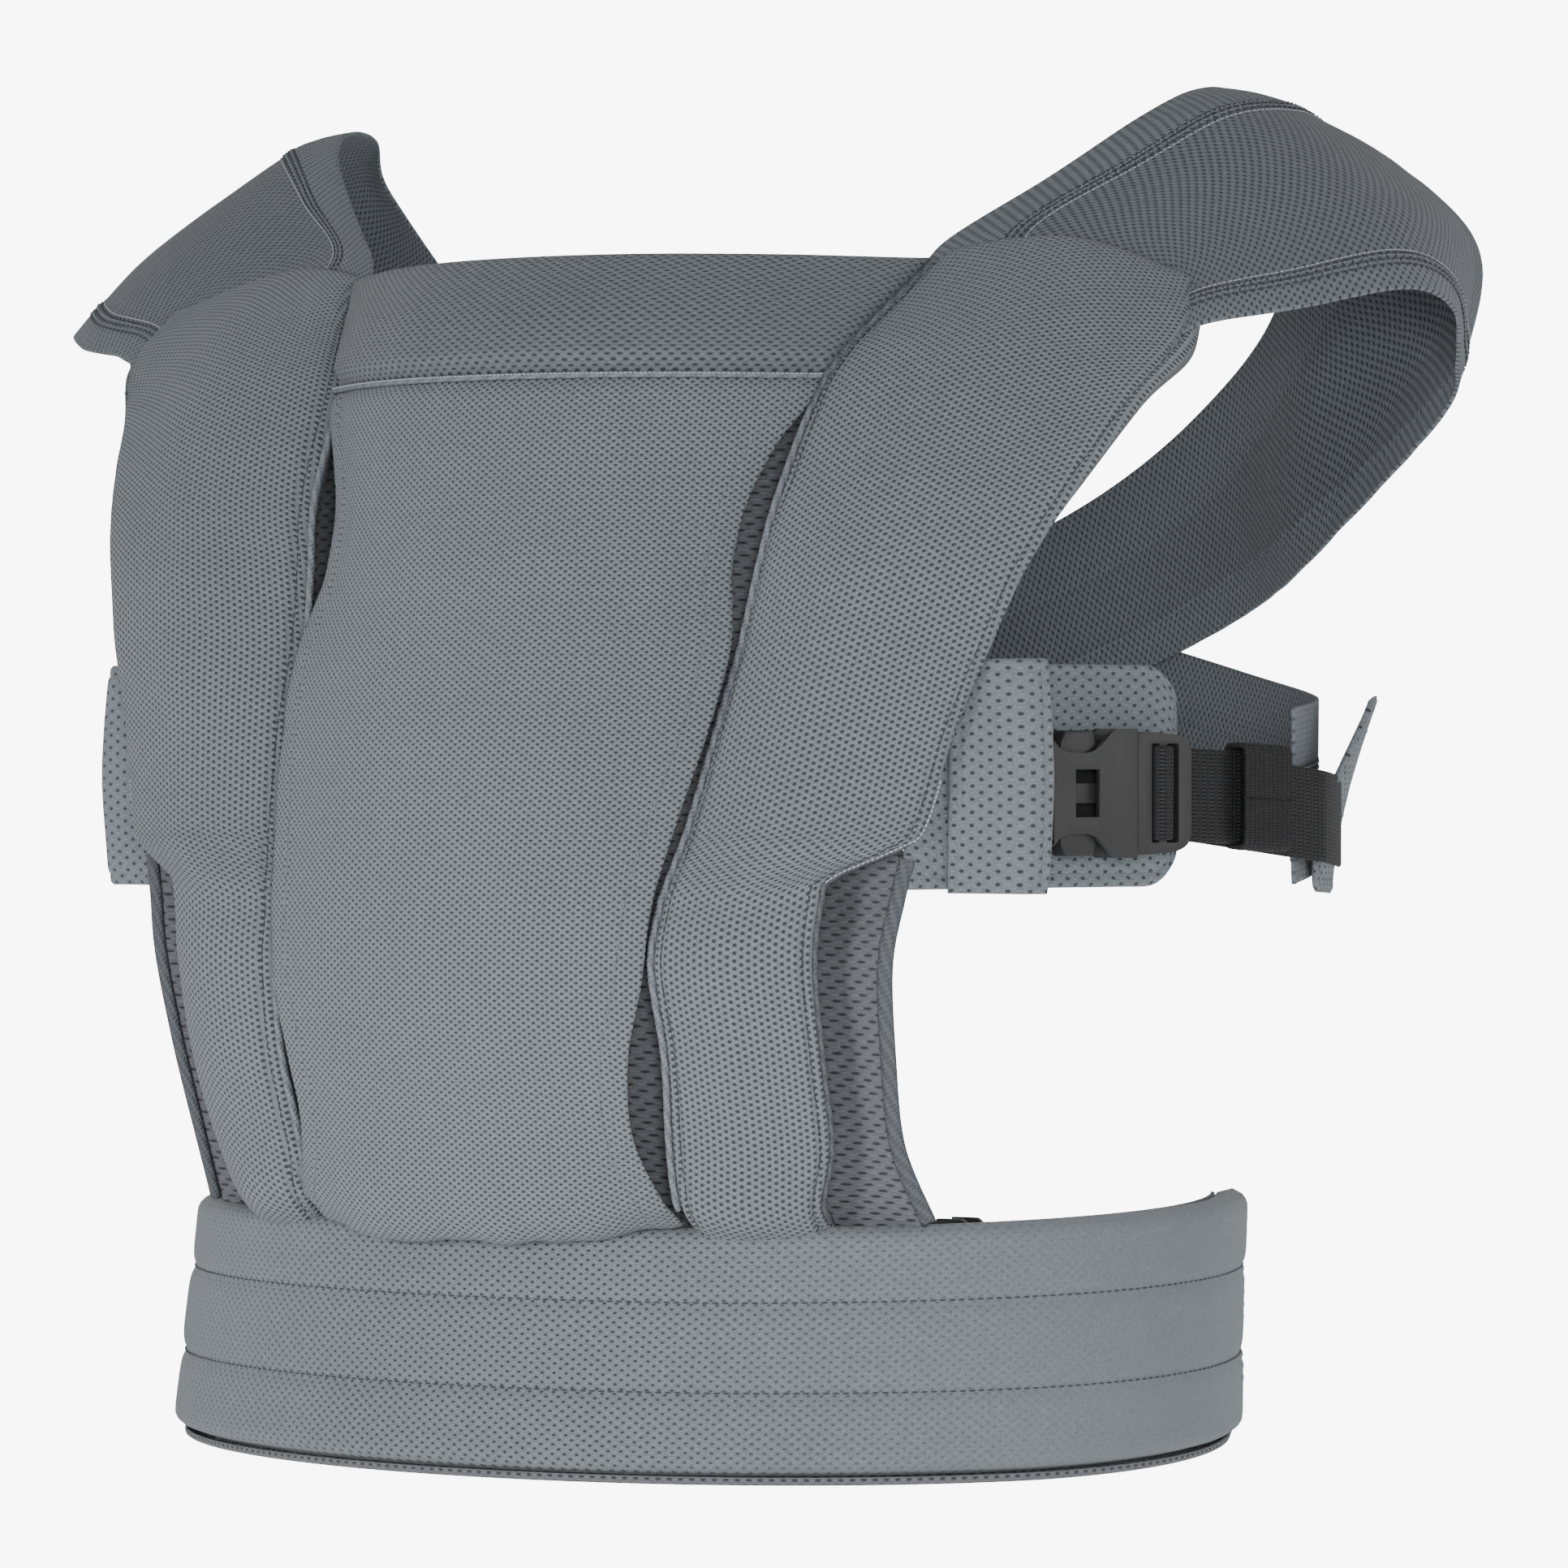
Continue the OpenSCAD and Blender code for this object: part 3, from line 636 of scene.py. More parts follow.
# inner to edge as (x, y), then the height
SEAT = [
    [(0, -118.5), (45, -115), (70, -106.5), (91, -94), (110, -91.5), 61.5],
    [(0, -122), (45, -118.5), (70, -110), (92, -97), (112, -94), 68.5],
    [(0, -131.5), (45, -126), (70, -117.5), (92.5, -105), (109.5, -106), 88.5],
    [(0, -137.5), (45, -132), (70.5, -124.5), (92.5, -112.5), (111, -113.8), 112.5],
    [(0, -140.5), (45, -136), (70.5, -129), (92.5, -117), (113, -119), 136.5],
    [(0, -139), (45, -133.5), (70.5, -125), (92.5, -113.5), (115.8, -117.5), 153.5],
    [(0, -138), (40, -133), (66, -125.5), (93, -117.5), (118, -116.2), 164],
    [(0, -137), (36, -132.5), (60, -126), (84, -117), (111, -113), 171],
    [(0, -135.5), (30, -132.5), (52, -127), (70, -116), (84, -111), 181],
    [(0, -130.5), (30, -127.5), (50, -119.5), (68, -108.5), (84, -104), 206],
    [(0, -123.5), (30, -119), (50, -109), (70, -97), (87, -93.5), 241.5],
    [(0, -113), (30, -108), (52, -95), (70, -81), (88, -74), 277],
    [(0, -106), (30, -101), (53, -88), (71.5, -73), (90, -65.5), 291]]
seat = Surface([[(np.sign(k) * h[abs(k)][0], h[abs(k)][1], h[5]) for k in range(-4, 5)] for h in SEAT], 110, 120)
pull = seat.noise(30, 51, along=0.5) * 0.8 * rounded(np.minimum(seat.left, seat.right), 12)
ob = sheet_solid("seat_panel_cloth", seat, -0.3 + pull * 0.6, -1.6 + pull * 0.6, [dark_cloth])
place(ob, "carrier", "dark_mesh", "seat_panel")
sheets.append((ob, seat, "stretched"))

for side, name in SIDES:
    P = spline([(side * (q[4][0] + 1.2), q[4][1] + 0.1, q[5]) for q in SEAT[1:7]], np.linspace(0, 1, 60))
    N = np.tile([side * 0.35, -0.94, 0.0], (60, 1))
    tube("thigh_piping_" + name, P, N, 2.1, 1.25, dark_edge, "thigh_binding_" + name)

PANEL = [
    (53, -121, -131, 69, 1), (55.5, -123.5, -139, 63.8, 4.5), (56.5, -127.5, -147, 64.2, 6), (55.5, -135, -152, 73, 3),
    (51.5, -142, -155, 92), (53, -146.5, -160, 112), (57, -146.6, -162, 131), (59, -144.4, -160.5, 152),
    (62.3, -136.8, -156.5, 174), (65.8, -128, -151.5, 196), (67.6, -119.5, -145, 217), (65.5, -114.5, -141, 230),
    (63.5, -111, -138.5, 241), (64.5, -105.5, -133.5, 257), (69.5, -98.5, -129.5, 273),
    (75.3, -91.5, -126, 284), (77.3, -87.3, -123.5, 291.5)]
panel = Surface(spread(PANEL), 120, 210)
side_d = np.minimum(panel.left, panel.right)
hem = 9.0  # width of the side hems
folds = panel.noise(26, 61, along=0.35) * 1.2
tucks = np.exp(-np.abs(panel.up - 14) / 24) * panel.noise(11, 62, 2, along=0) * 1.3
loose = (folds + tucks) * rounded(side_d - 3, 16)
wave = np.exp(-side_d / 9) * noise2(panel.uv[..., 1], 0 * side_d + np.sign(panel.uv[..., 0]), 22, 63, 2) * 0.8
panel_h = 0.9 + loose + wave + 0.55 * rounded(hem - side_d, 0.8) - 0.5 * dent(side_d, hem - 1.6, 0.8)
panel_h = np.clip(panel_h - 1.3 * dent(panel.down, 0, 2.5), -0.3, 3.4)
ob = sheet_solid("front_panel_cloth", panel, panel_h, panel_h - 0.9, [main_cloth, main_cloth])
place(ob, "carrier", "main_fabric", "front_panel")
sheets.append((ob, panel, "hung"))
for sgn in (1, -1):
    sewn_line(panel, panel_h, side=sgn * (hem - 1.6), v0=0.08, v1=0.985, pitch=2.8, r=0.2)

HEAD = [(77, -85.8, -122.5, 292.6), (81.6, -72.8, -116.5, 305.5), (86.4, -62, -108, 315.5), (90.8, -52, -99, 324.5)]
head = Surface(spread(HEAD), 130, 44)
top_d, low_d = head.down, head.up
e = np.minimum(np.minimum(head.left, head.right) + 1.2, np.minimum(top_d, low_d))
close = rounded(e, 4.2)
head_h = (3.0 + 1.6 * rounded(e, 15) + head.noise(24, 71, along=0.8) * 0.8 * rounded(e - 2, 8)) * close
head_h = head_h - 1.6 * dent(low_d, 1.8, 1.4) - 0.25 * np.exp(-low_d / 5) * head.noise(8, 72, 2, along=0)
head_pad = sheet_solid("head_support_pad", head, head_h, -0.3 - 3.0 * close, [head_cloth])
head_lining = sheet_solid("head_support_lining_cloth", head, -3.9, -5.0, [lining_cloth])
for ob in (head_pad, head_lining):
    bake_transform(ob)
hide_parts("head_support")
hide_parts("head_support_lining")
sheets.append((head_lining, head, "stretched"))


def edge_path(S, side, offset, height, v0, v1):
    """Points on a surface's left (side < 0) or right edge, moved outwards by offset."""
    n = 160
    vs = np.linspace(v0, v1, n)
    us = np.full(n, 0.0 if side < 0 else 1.0)
    P, N = S.at(us, vs, height)
    Q, _ = S.at(us + (0.03 if side < 0 else -0.03), vs, height)
    return P + unit(P - Q) * offset, N


def head_seam(rise, height):
    """Along the seam under the head support, on the front panel's top edge."""
    P, N = panel.at(np.linspace(0, 1, 160), np.ones(160), height)
    return P + np.array([0, 0, rise]), N


tube("head_seam_piping", *head_seam(0.2, 0.6), 0.8, 0.8, edge_cloth)
stitch("carrier", "pale").line(*head_seam(0.5, 1.3), 1.3, fill=0.9, r=0.2)

# ---- padded straps
STRAP = [
    [(59, -120.5, 64), (75.5, -115, 64), (91, -102.5, 64)],
    [(59, -130.5, 72), (76, -125.8, 72), (92.3, -113, 72)],
    [(59, -135, 88), (78.5, -130.5, 88), (97.5, -118, 88.5)],
    [(61, -141, 112), (80.5, -138, 112), (99.5, -126.5, 112)],
    [(59.5, -145.5, 136), (80.5, -143, 136), (100, -131.5, 136.5)],
    [(60.3, -142.8, 150.5), (81.5, -141.3, 150.5), (101.8, -131.4, 153)],
    [(61.2, -141.4, 156), (83, -140.8, 156), (104.2, -130.0, 159.2)],
    [(63.2, -137, 166.5), (91.5, -137.4, 166), (120, -121.2, 167.2)],
    [(64.4, -134.4, 173), (94, -134.6, 172.5), (125.2, -117.2, 173)],
    [(67.5, -126, 197), (98.5, -128.5, 197), (131, -112, 197)],
    [(69.5, -116, 221.5), (102.5, -122.5, 221), (138.5, -106.5, 219.5)],
    [(71.5, -110.5, 241.5), (107.5, -116.5, 241.5), (145.5, -99.5, 240.5)],
    [(74.5, -104, 262), (113.5, -106, 262), (154, -87, 262)],
    [(78, -85.5, 292.5), (120.5, -85.5, 290.5), (163.5, -67.5, 285.5)],
    [(85.5, -68, 310.5), (129, -59, 313), (171.5, -54.5, 301)],
    [(92.5, -49.5, 326), (126, -35, 330.5), (166, -40.5, 318)]]
for side, name in SIDES:
    S = Surface(STRAP if side > 0 else flip(STRAP), 56, 210)
    e = np.minimum(S.left, S.right)
    end = np.minimum(S.up + 4, S.down)
    close = rounded(np.minimum(e, end), 4.6)
    slanted = noise2(S.uv[..., 0] * 0.5 + S.uv[..., 1] * 0.4, S.uv[..., 1], 13, 84 + side, 2)
    soft = S.noise(32, 81 + side, along=0.8) * 1.1 + slanted * 0.42
    edge_pull = np.exp(-e / 4.5) * noise2(S.uv[..., 1], np.sign(S.uv[..., 0]), 9, 87 + side, 2) * 0.45
    h = 1.2 + 1.4 * rounded(np.minimum(e, end + 2) - 3, 14) + soft * rounded(e - 2, 10)
    h = h - 0.95 * dent(e, 2.9, 0.7) + edge_pull
    h_out = -2.0 + (h + 2.0) * close
    ob = sheet_solid("padded_strap_" + name, S, h_out, -2.3 - 8.0 * close, [strap_cloth, lining_cloth])
    place(ob, "carrier", "main_fabric", "strap_cover_" + name, "strap_foam_" + name, "strap_lining_" + name)
    for sgn in (1, -1):
        sewn_line(S, h_out, side=sgn * 2.9, v0=0.02, v1=0.985, pitch=2.4, r=0.2, kind="dark")
    inner = -side
    line = edge_path(S, inner, 0.7, -1.0, 0.04, 0.995)
    tube("strap_piping_" + name, *line, 1.0, 1.2, edge_cloth, "strap_binding_" + name)
    tube("strap_corner_piping_" + name, *edge_path(S, side, 0.3, -1.6, 0.02, 0.36), 0.8, 0.9, dark_edge)
    # a dark strip under the strap's inner edge near the top: painted shade, seen through the gap at the seam
    line = edge_path(S, inner, -1.6, -6.4, 0.74, 0.985)
    tube("strap_seam_shade_strip_" + name, *line, 3.2, 0.45, dark_edge, slot="dark_mesh")
    top = S.at(np.linspace(0.02, 0.98, 90), np.full(90, 1 - 1.0 / S.up[-1, 28]), 0.0, h_out)
    for line in (edge_path(S, side, 0.2, -0.7, 0.31, 0.42), top):
        stitch("carrier", "pale").line(*line, 1.3, fill=0.92, r=0.26)


# ---- wrap straps
CAP = [
    [(89.5, -58, 316.5), (107, -52, 320), (125, -47.5, 320.5), (143.5, -47, 315.5),
     (158, -50, 308.5), (166.5, -62, 294)],
    [(92, -46.5, 329), (109.5, -35.5, 334), (125.5, -30, 334), (144.5, -32.5, 329),
     (160.5, -38.5, 320.5), (171.5, -53, 304)],
    [(112, -26, 346.5), (127, -19, 350.5), (142.5, -15.5, 349.5), (162.5, -19, 342.5),
     (183.5, -28.5, 328), (196.5, -40.5, 309)],
    [(130, -7, 363.5), (141, -1.5, 365.5), (153, 0.5, 364.5), (175.5, -0.5, 353.5),
     (200.5, -7, 335.5), (215.5, -16.5, 314.5)],
    [(139, 11.5, 372.5), (150, 14.5, 371.5), (162, 17, 367.5), (183, 18.5, 354.5),
     (206.5, 17, 335.5), (217.5, 7.5, 309.5)],
    [(142, 31.5, 372), (153, 37.5, 369), (164, 41, 364), (186, 45.5, 351),
     (205, 45, 330), (208, 31, 297.5)],
    [(149, 49.5, 358), (158, 59, 353), (167.5, 63, 346), (185.5, 66.5, 334),
     (197.5, 61, 316), (196, 45, 283)]]
# degrees round the back, height, width
RUN = [(122, 283, 80), (141, 260, 62), (160, 238, 52), (180, 219, 48), (200, 204, 46), (221, 192, 46),
       (244, 184, 47), (272, 180, 48)]
BACK_X, BACK_Y, BACK_C = 167.5, 101.5, 16  # the ellipse the straps follow round the back, and its centre's depth
NECK_ROWS, ARM_ROWS = (20.8, 22.9, 25.0), (8.4, 10.5, 12.6)  # stitching on the two hems, mm from the edge


def run_rows(lift):
    """Cross-sections of the strap's run round the back."""
    rows = []
    for phi, z, w in RUN:
        lean = 0.4 * (272 - phi) / 140
        up = lift * min(1, max(0, (48 - abs(phi - 180)) / 20))
        row = []
        for k in (-0.5, -0.3, -0.1, 0.1, 0.3, 0.5):
            d = w * k
            a = math.radians(phi - lean * d / 2.6)
            row.append((BACK_X * math.sin(a), BACK_C - (BACK_Y + up) * math.cos(a), z - d * math.sqrt(1 - lean * lean)))
        rows.append(row)
    return rows


for side, name in SIDES:
    rows = np.array(CAP + run_rows(0 if side > 0 else 6))
    S = Surface(rows if side > 0 else flip(rows), 84, 380)
    neck = S.left if side > 0 else S.right  # distance from the neck-side edge
    arm = S.width - neck
    part = np.clip(S.width / 60, 0.55, 1)
    neck_hem, arm_hem = 25.5 * part, 12.5 * part
    h = 0.25 + 0.55 * rounded(neck_hem - neck, 0.7) + 0.55 * rounded(arm_hem - arm, 0.7)
    for d, rows in ((neck, NECK_ROWS), (arm, ARM_ROWS)):
        for row in rows:
            h = h - 0.4 * dent(d, row * part, 0.55)
    soft = S.noise(26, 91 + side, across=0.7, along=0.5) * 0.9 * rounded(np.minimum(neck, arm), 8)
    ripple = np.exp(-arm / 7) * noise2(S.uv[..., 1], 0 * arm, 14, 94 + side, 2) * 0.8
    h = np.clip(h + 0.45 * soft + 0.6 * ripple, -0.4, 1.25)
    # where the wrap straps' painted shade is lifted: the hems, and more as the strap narrows its run round the back,
    # are painted lighter
    hems = np.clip(rounded(neck_hem - neck, 1.0) + rounded(arm_hem - arm, 1.0) + (1 - part) * 1.5, 0, 1)
    ob = sheet_solid("wrap_strap_cloth_" + name, S, h, h - 1.15, [cap_cloth, cap_cloth], {"hem": hems})
    place(ob, "carrier", "main_fabric", "wrap_strap_" + name)
    sheets.append((ob, S, "hung"))
    vs = np.linspace(0.004, 0.996, S.nv * 2)
    wide = S.width_at(vs)
    for near, dists in ((side, NECK_ROWS), (-side, ARM_ROWS)):
        lines = [(d, "dark", 2.3, 0.8, 0.26, 0.2) for d in dists]
        lines += [(dists[-1] + 1.2, "pale", 1.4, 0.9, 0.2, 0.1)]
        lines += [(d + 1.05, "light", 1.5, 0.8, 0.3, 0.1) for d in dists[:2]]
        for dist, kind, pitch, fill, r, up in lines:
            q = dist * np.clip(wide / 60, 0.55, 1) / wide
            P, N = S.at(q if near > 0 else 1 - q, vs, 0.0, h)
            stitch("carrier", kind).line(P, N, pitch, fill=fill, r=r, lift=up)

# strap ends, sewn round the webbing
for side, name in SIDES:
    rows = []
    for z in (-1, -0.8, -0.4, 0, 0.4, 0.8, 1):
        row = []
        for share in (0, 0.25, 0.5, 0.75, 1):
            first = 95 + 4 * z + 8 * z * z
            phi = first + (115 + 2 * z - z * z - first) * share
            hh = 24 + 2 * (phi - 84) / 31 + 2 * z
            a = math.radians(phi)
            x = (BACK_X + 4.3 + 4 * share ** 2) * math.sin(a) + 8 * z + 3 * z * z
            row.append((x, BACK_C - (BACK_Y + 4.3) * math.cos(a), 178 + z * (hh + 1.5)))
        rows.append(row)
    S = Surface(rows if side > 0 else flip(rows), 44, 40)
    e = S.edge()
    close = rounded(e, 1.4)
    h = 0.2 + (0.8 + 0.25 * S.noise(12, 101)) * close - 0.35 * dent(e, 3.2, 0.8)
    ob = sheet_solid("strap_end_cloth_" + name, S, h, -0.1 - 0.8 * close, [wing_cloth])
    place(ob, "strap_release_" + name, "main_fabric", "strap_end_" + name)
    sheets.append((ob, S, "stretched"))
    for d in (3.2, -3.2):
        sewn_line(S, h, "strap_release_" + name, side=d, v0=0.05, v1=0.95)
    for v in (3.2 / 50, 1 - 3.2 / 50):
        sewn_line(S, h, "strap_release_" + name, v=v, u0=0.08, u1=0.92)


# ---- side closures
SIDE_TURN = math.radians(67)
SIDE_WEB, WAIST_WEB, WEB_T = 25, 38, 1.5  # webbing widths and thickness
KEEPER = (42, 58)  # where an elastic keeper starts and ends


def side_frame(side, buckle=True):
    """Maps local mm points (x along the wing, -y outwards, z up) into the frame's mm."""
    c, s = math.cos(SIDE_TURN), math.sin(SIDE_TURN)

    def put(P):
        P = np.asarray(P, float) + (np.array([47.0, -6.9, 0.0]) if buckle else 0.0)
        x = 125 + c * P[..., 0] - s * P[..., 1]
        y = -98 + s * P[..., 0] + c * P[..., 1]
        return np.stack([side * x, y, 181 + P[..., 2]], -1)

    return put


def back_put(P):
    """The same for the waist closure behind the wearer."""
    return np.stack([-P[..., 0], 116.5 - P[..., 1], 30.5 + P[..., 2]], -1)


def facing(rows, side):
    """Rows turned so that the surface's normal points outwards on either side."""
    return rows if side > 0 else rows[:, ::-1]


def fillet(path, r, n=6):
    """Round the corners of a plane path."""
    path = [np.asarray(p, float) for p in path]
    out = [path[0]]
    for a, b, c in zip(path[:-2], path[1:-1], path[2:]):
        q = min(r, 0.48 * np.linalg.norm(b - a), 0.48 * np.linalg.norm(c - b))
        p0, p1 = b + (a - b) / np.linalg.norm(a - b) * q, b + (c - b) / np.linalg.norm(c - b) * q
        for t in np.linspace(0, 1, n):
            out.append((1 - t) ** 2 * p0 + 2 * t * (1 - t) * b + t * t * p1)
    return np.array(out + [path[-1]])


def refine(path, step):
    """More points along a path, its corners kept."""
    seg = lengths(path)
    n = max(2, int(seg[-1] / step))
    q = np.unique(np.r_[np.linspace(0, seg[-1], n), seg])
    return resample(path, seg, q)


def outward(ob):
    """Turns an object's faces outwards."""
    bm = bmesh.new()
    bm.from_mesh(ob.data)
    bmesh.ops.recalc_face_normals(bm, faces=bm.faces)
    bm.to_mesh(ob.data)
    bm.free()


def ribbon(name, body, node, path, w, put, seed, wave=0.0):
    """Webbing w wide along a plane path (x, y), upright in z."""
    path = np.asarray(path, float)
    if path.shape[1] == 2:
        path = np.c_[path, np.zeros(len(path))]
    path = refine(path, 1.6)
    tan = unit(np.gradient(path[:, :2], axis=0))
    nor = np.stack([tan[:, 1], -tan[:, 0]], 1)
    hz, hy, r = w / 2, WEB_T / 2, WEB_T * 0.42
    half = [(-hz, r - hy), (r * 0.4 - hz, r * 0.25 - hy)] + [(z, -hy) for z in np.linspace(r - hz, hz - r, 11)]
    half += [(hz - r * 0.4, r * 0.25 - hy), (hz, r - hy)]
    prof = np.r_[half, -np.array(half)]
    m, k = len(prof), len(path)
    length = lengths(path)
    bow = wave * noise2(*np.broadcast_arrays(length[:, None], prof[None, :, 0]), 16, seed, 2)
    xy = path[:, None, :2] + nor[:, None, :] * (prof[None, :, 1] + bow)[..., None]
    V = put(np.dstack([xy, prof[None, :, 0] + path[:, 2:3]]))
    girth = np.where(prof[:, 1] <= 0, prof[:, 0], -prof[:, 0] + 200)
    uv = np.dstack([np.repeat(girth[None], k, 0), np.repeat(length[:, None], m, 1)])
    ob = make_mesh(name, V.reshape(-1, 3), loft_faces(k, m), uv.reshape(-1, 2))
    outward(ob)
    ob.data.materials.append(webbing)
    place(ob, body, "webbing", node)


def apply_modifiers(ob):
    """Makes the modified shape the object's own mesh."""
    bpy.context.view_layer.update()
    shape = bpy.data.meshes.new_from_object(ob.evaluated_get(bpy.context.evaluated_depsgraph_get()))
    ob.modifiers.clear()
    ob.data = shape


def moulded(node, name, outline, put):
    """A buckle piece from its CAD node, trimmed to the moulding's outline (x, z) in mm, with rounded edges."""
    ob = bpy.data.objects.new(name, bpy.data.objects[node].data.copy())
    scene.collection.objects.link(ob)
    if outline is not None:
        pts = np.asarray(outline, float)
        k = len(pts)
        prism = [(x, y, z) for y in (-30.0, 20.0) for x, z in pts]
        cutter = make_mesh(name + "_cutter", put(np.array(prism)), loft_faces(2, k))
        outward(cutter)
        cut = ob.modifiers.new("cut", "BOOLEAN")
        cut.operation = "INTERSECT"
        cut.solver = "EXACT"
        cut.object = cutter
        apply_modifiers(ob)
        bpy.data.objects.remove(cutter, do_unlink=True)
    bm = bmesh.new()
    bm.from_mesh(ob.data)
    bmesh.ops.remove_doubles(bm, verts=bm.verts, dist=2e-6)
    bmesh.ops.dissolve_limit(bm, angle_limit=0.01, verts=bm.verts, edges=bm.edges)
    bm.to_mesh(ob.data)
    bm.free()
    mod = ob.modifiers.new("edges", "BEVEL")
    mod.width = 0.0006
    mod.segments = 3
    mod.limit_method = "ANGLE"
    mod.angle_limit = math.radians(35)
    apply_modifiers(ob)
    ob.data.polygons.foreach_set("use_smooth", np.ones(len(ob.data.polygons), bool))
    ob.data.set_sharp_from_angle(angle=math.radians(32))
    ob.data.materials.clear()
    ob.data.materials.append(black)
    return ob


def mirrored_outline(top):
    top = spline(np.array(top, float), np.linspace(0, 1, 60))
    return np.r_[top, (top * [1, -1])[::-1]]


def female_outline(length, half):
    """Waisted sides that leave the prongs' pads to press."""
    q, g = half / 17.0, length / 33.0
    return mirrored_outline([(x * g, z * q) for x, z in (
        (-33.6, 12.6), (-32.6, 14.2), (-30.4, 14.6), (-28.0, 13.4), (-25.6, 11.4), (-21.0, 10.7), (-15.5, 11.0),
        (-11.6, 13.4), (-8.6, 16.2), (-6.2, 17.3), (-3.0, 17.4), (0.4, 17.4))])


def male_outline(half):
    q = half / 17.0
    return mirrored_outline([(x, z * q) for x, z in (
        (-30.0, 4.0), (-20.0, 4.0), (-2.0, 4.0), (-0.5, 8.0), (0.2, 16.6), (4.0, 16.6), (10.0, 16.2), (14.5, 15.6),
        (17.6, 14.0), (19.0, 11.0), (19.4, 6.0), (19.4, 2.0))])


def anchor_path(length, th, tail):
    """Sewn tail, round the receiving half's bar and back under itself."""
    near, far, up = -length + 3.0, -length - 1.2, -th - 1.2
    pts = [(-length - tail, 2.7), (near, 2.7), (near, up), (far, up), (far, 0.9), (-length - tail + 1.5, 0.95)]
    return fillet(pts, 1.6)


def pull_path(th, load_end, t_fold, drop):
    """Load run, round the ladder bar, then the tail: slack, through the keeper, folded back on itself."""
    up = -th - 0.5
    pts = load_end + [(24, 2.7, -drop * 0.1), (6.7, 2.7, 0), (6.7, up, 0), (11.7, up, 0), (11.7, 0.9, 0)]
    pts += [(20.2, 0.9, -0.2 * drop), (23.5, -1.6, -0.5 * drop), (34, -1.6, -0.8 * drop), (40, 0.9, -1.0 * drop)]
    pts += [(t_fold - 0.8, 0.9, -1.0 * drop), (t_fold - 0.8, -1.4, -1.0 * drop), (43.5, -1.4, -1.0 * drop)]
    return fillet(pts, 2.0)


def keeper_ring(name, body, node, w, put, drop=0.0):
    """Elastic loop round the doubled webbing; its width runs along x."""
    hz, y0, y1, r = w / 2 + 1.1, -3.4, 4.6, 2.2
    loop = fillet([(0, y0), (hz, y0), (hz, y1), (-hz, y1), (-hz, y0), (0, y0)], r, 8)
    loop = refine(loop, 0.9)[:-1]
    k = len(loop)
    tan = unit(np.roll(loop, -1, 0) - np.roll(loop, 1, 0))
    nor = np.stack([tan[:, 1], -tan[:, 0]], 1)
    xs = np.linspace(*KEEPER, 17)
    span = (xs - KEEPER[0]) / (KEEPER[1] - KEEPER[0])
    arch = 0.55 + 0.25 * np.cos(span * 2 * math.pi * 5) * 0.3 + 0.25 * rounded(np.minimum(span, 1 - span), 0.12)
    length = lengths(loop)
    V, UV = [], []
    for out in (1, -0.9):
        for j in range(k):
            for i, x in enumerate(xs):
                z, y = loop[j] + nor[j] * (arch[i] * out)
                V.append((x, y, z - drop * (x - 24) / 24))
                UV.append((x, length[j]))
    m = len(xs)
    n = k * m
    faces = []
    for j in range(k):
        j2 = (j + 1) % k
        for i in range(m - 1):
            faces.append((j * m + i, j * m + i + 1, j2 * m + i + 1, j2 * m + i))
            faces.append((n + j * m + i, n + j2 * m + i, n + j2 * m + i + 1, n + j * m + i + 1))
        faces.append((j * m, j2 * m, n + j2 * m, n + j * m))
        faces.append((j * m + m - 1, n + j * m + m - 1, n + j2 * m + m - 1, j2 * m + m - 1))
    ob = make_mesh(name, put(np.array(V)), faces, np.array(UV))
    outward(ob)
    ob.data.materials.append(elastic)
    place(ob, body, "elastic", node)


def pad_rows():
    """The wing pad: square at its sewn end, its corners rounded at the free end."""
    ts = np.r_[np.linspace(-20, 61, 15), 61 + 11 * np.sin(np.linspace(0.2, 1, 7) * math.pi / 2)]
    arc = lambda t: 11 * (1 - math.sqrt(max(0, 1 - (max(0, t - 61) / 11) ** 2)))
    level = lambda t, v: (-25 + arc(t)) * (1 - v) + (34 - arc(t)) * v
    return np.array([[(t, -1.5, level(t, v)) for t in ts] for v in np.linspace(0, 1, 7)])


def buckle(kind, suffix, bodies, outlines, put):
    """The four mouldings of a buckle, each on its own body."""
    for part, body, outline in zip(("buckle_female", "buckle_male", "prong_upper", "prong_lower"), bodies, outlines):
        node = kind + "_" + part
        ob = moulded(node + suffix, node + "_moulding" + suffix, outline, put)
        place(ob, body, "buckle_plastic", node + suffix)




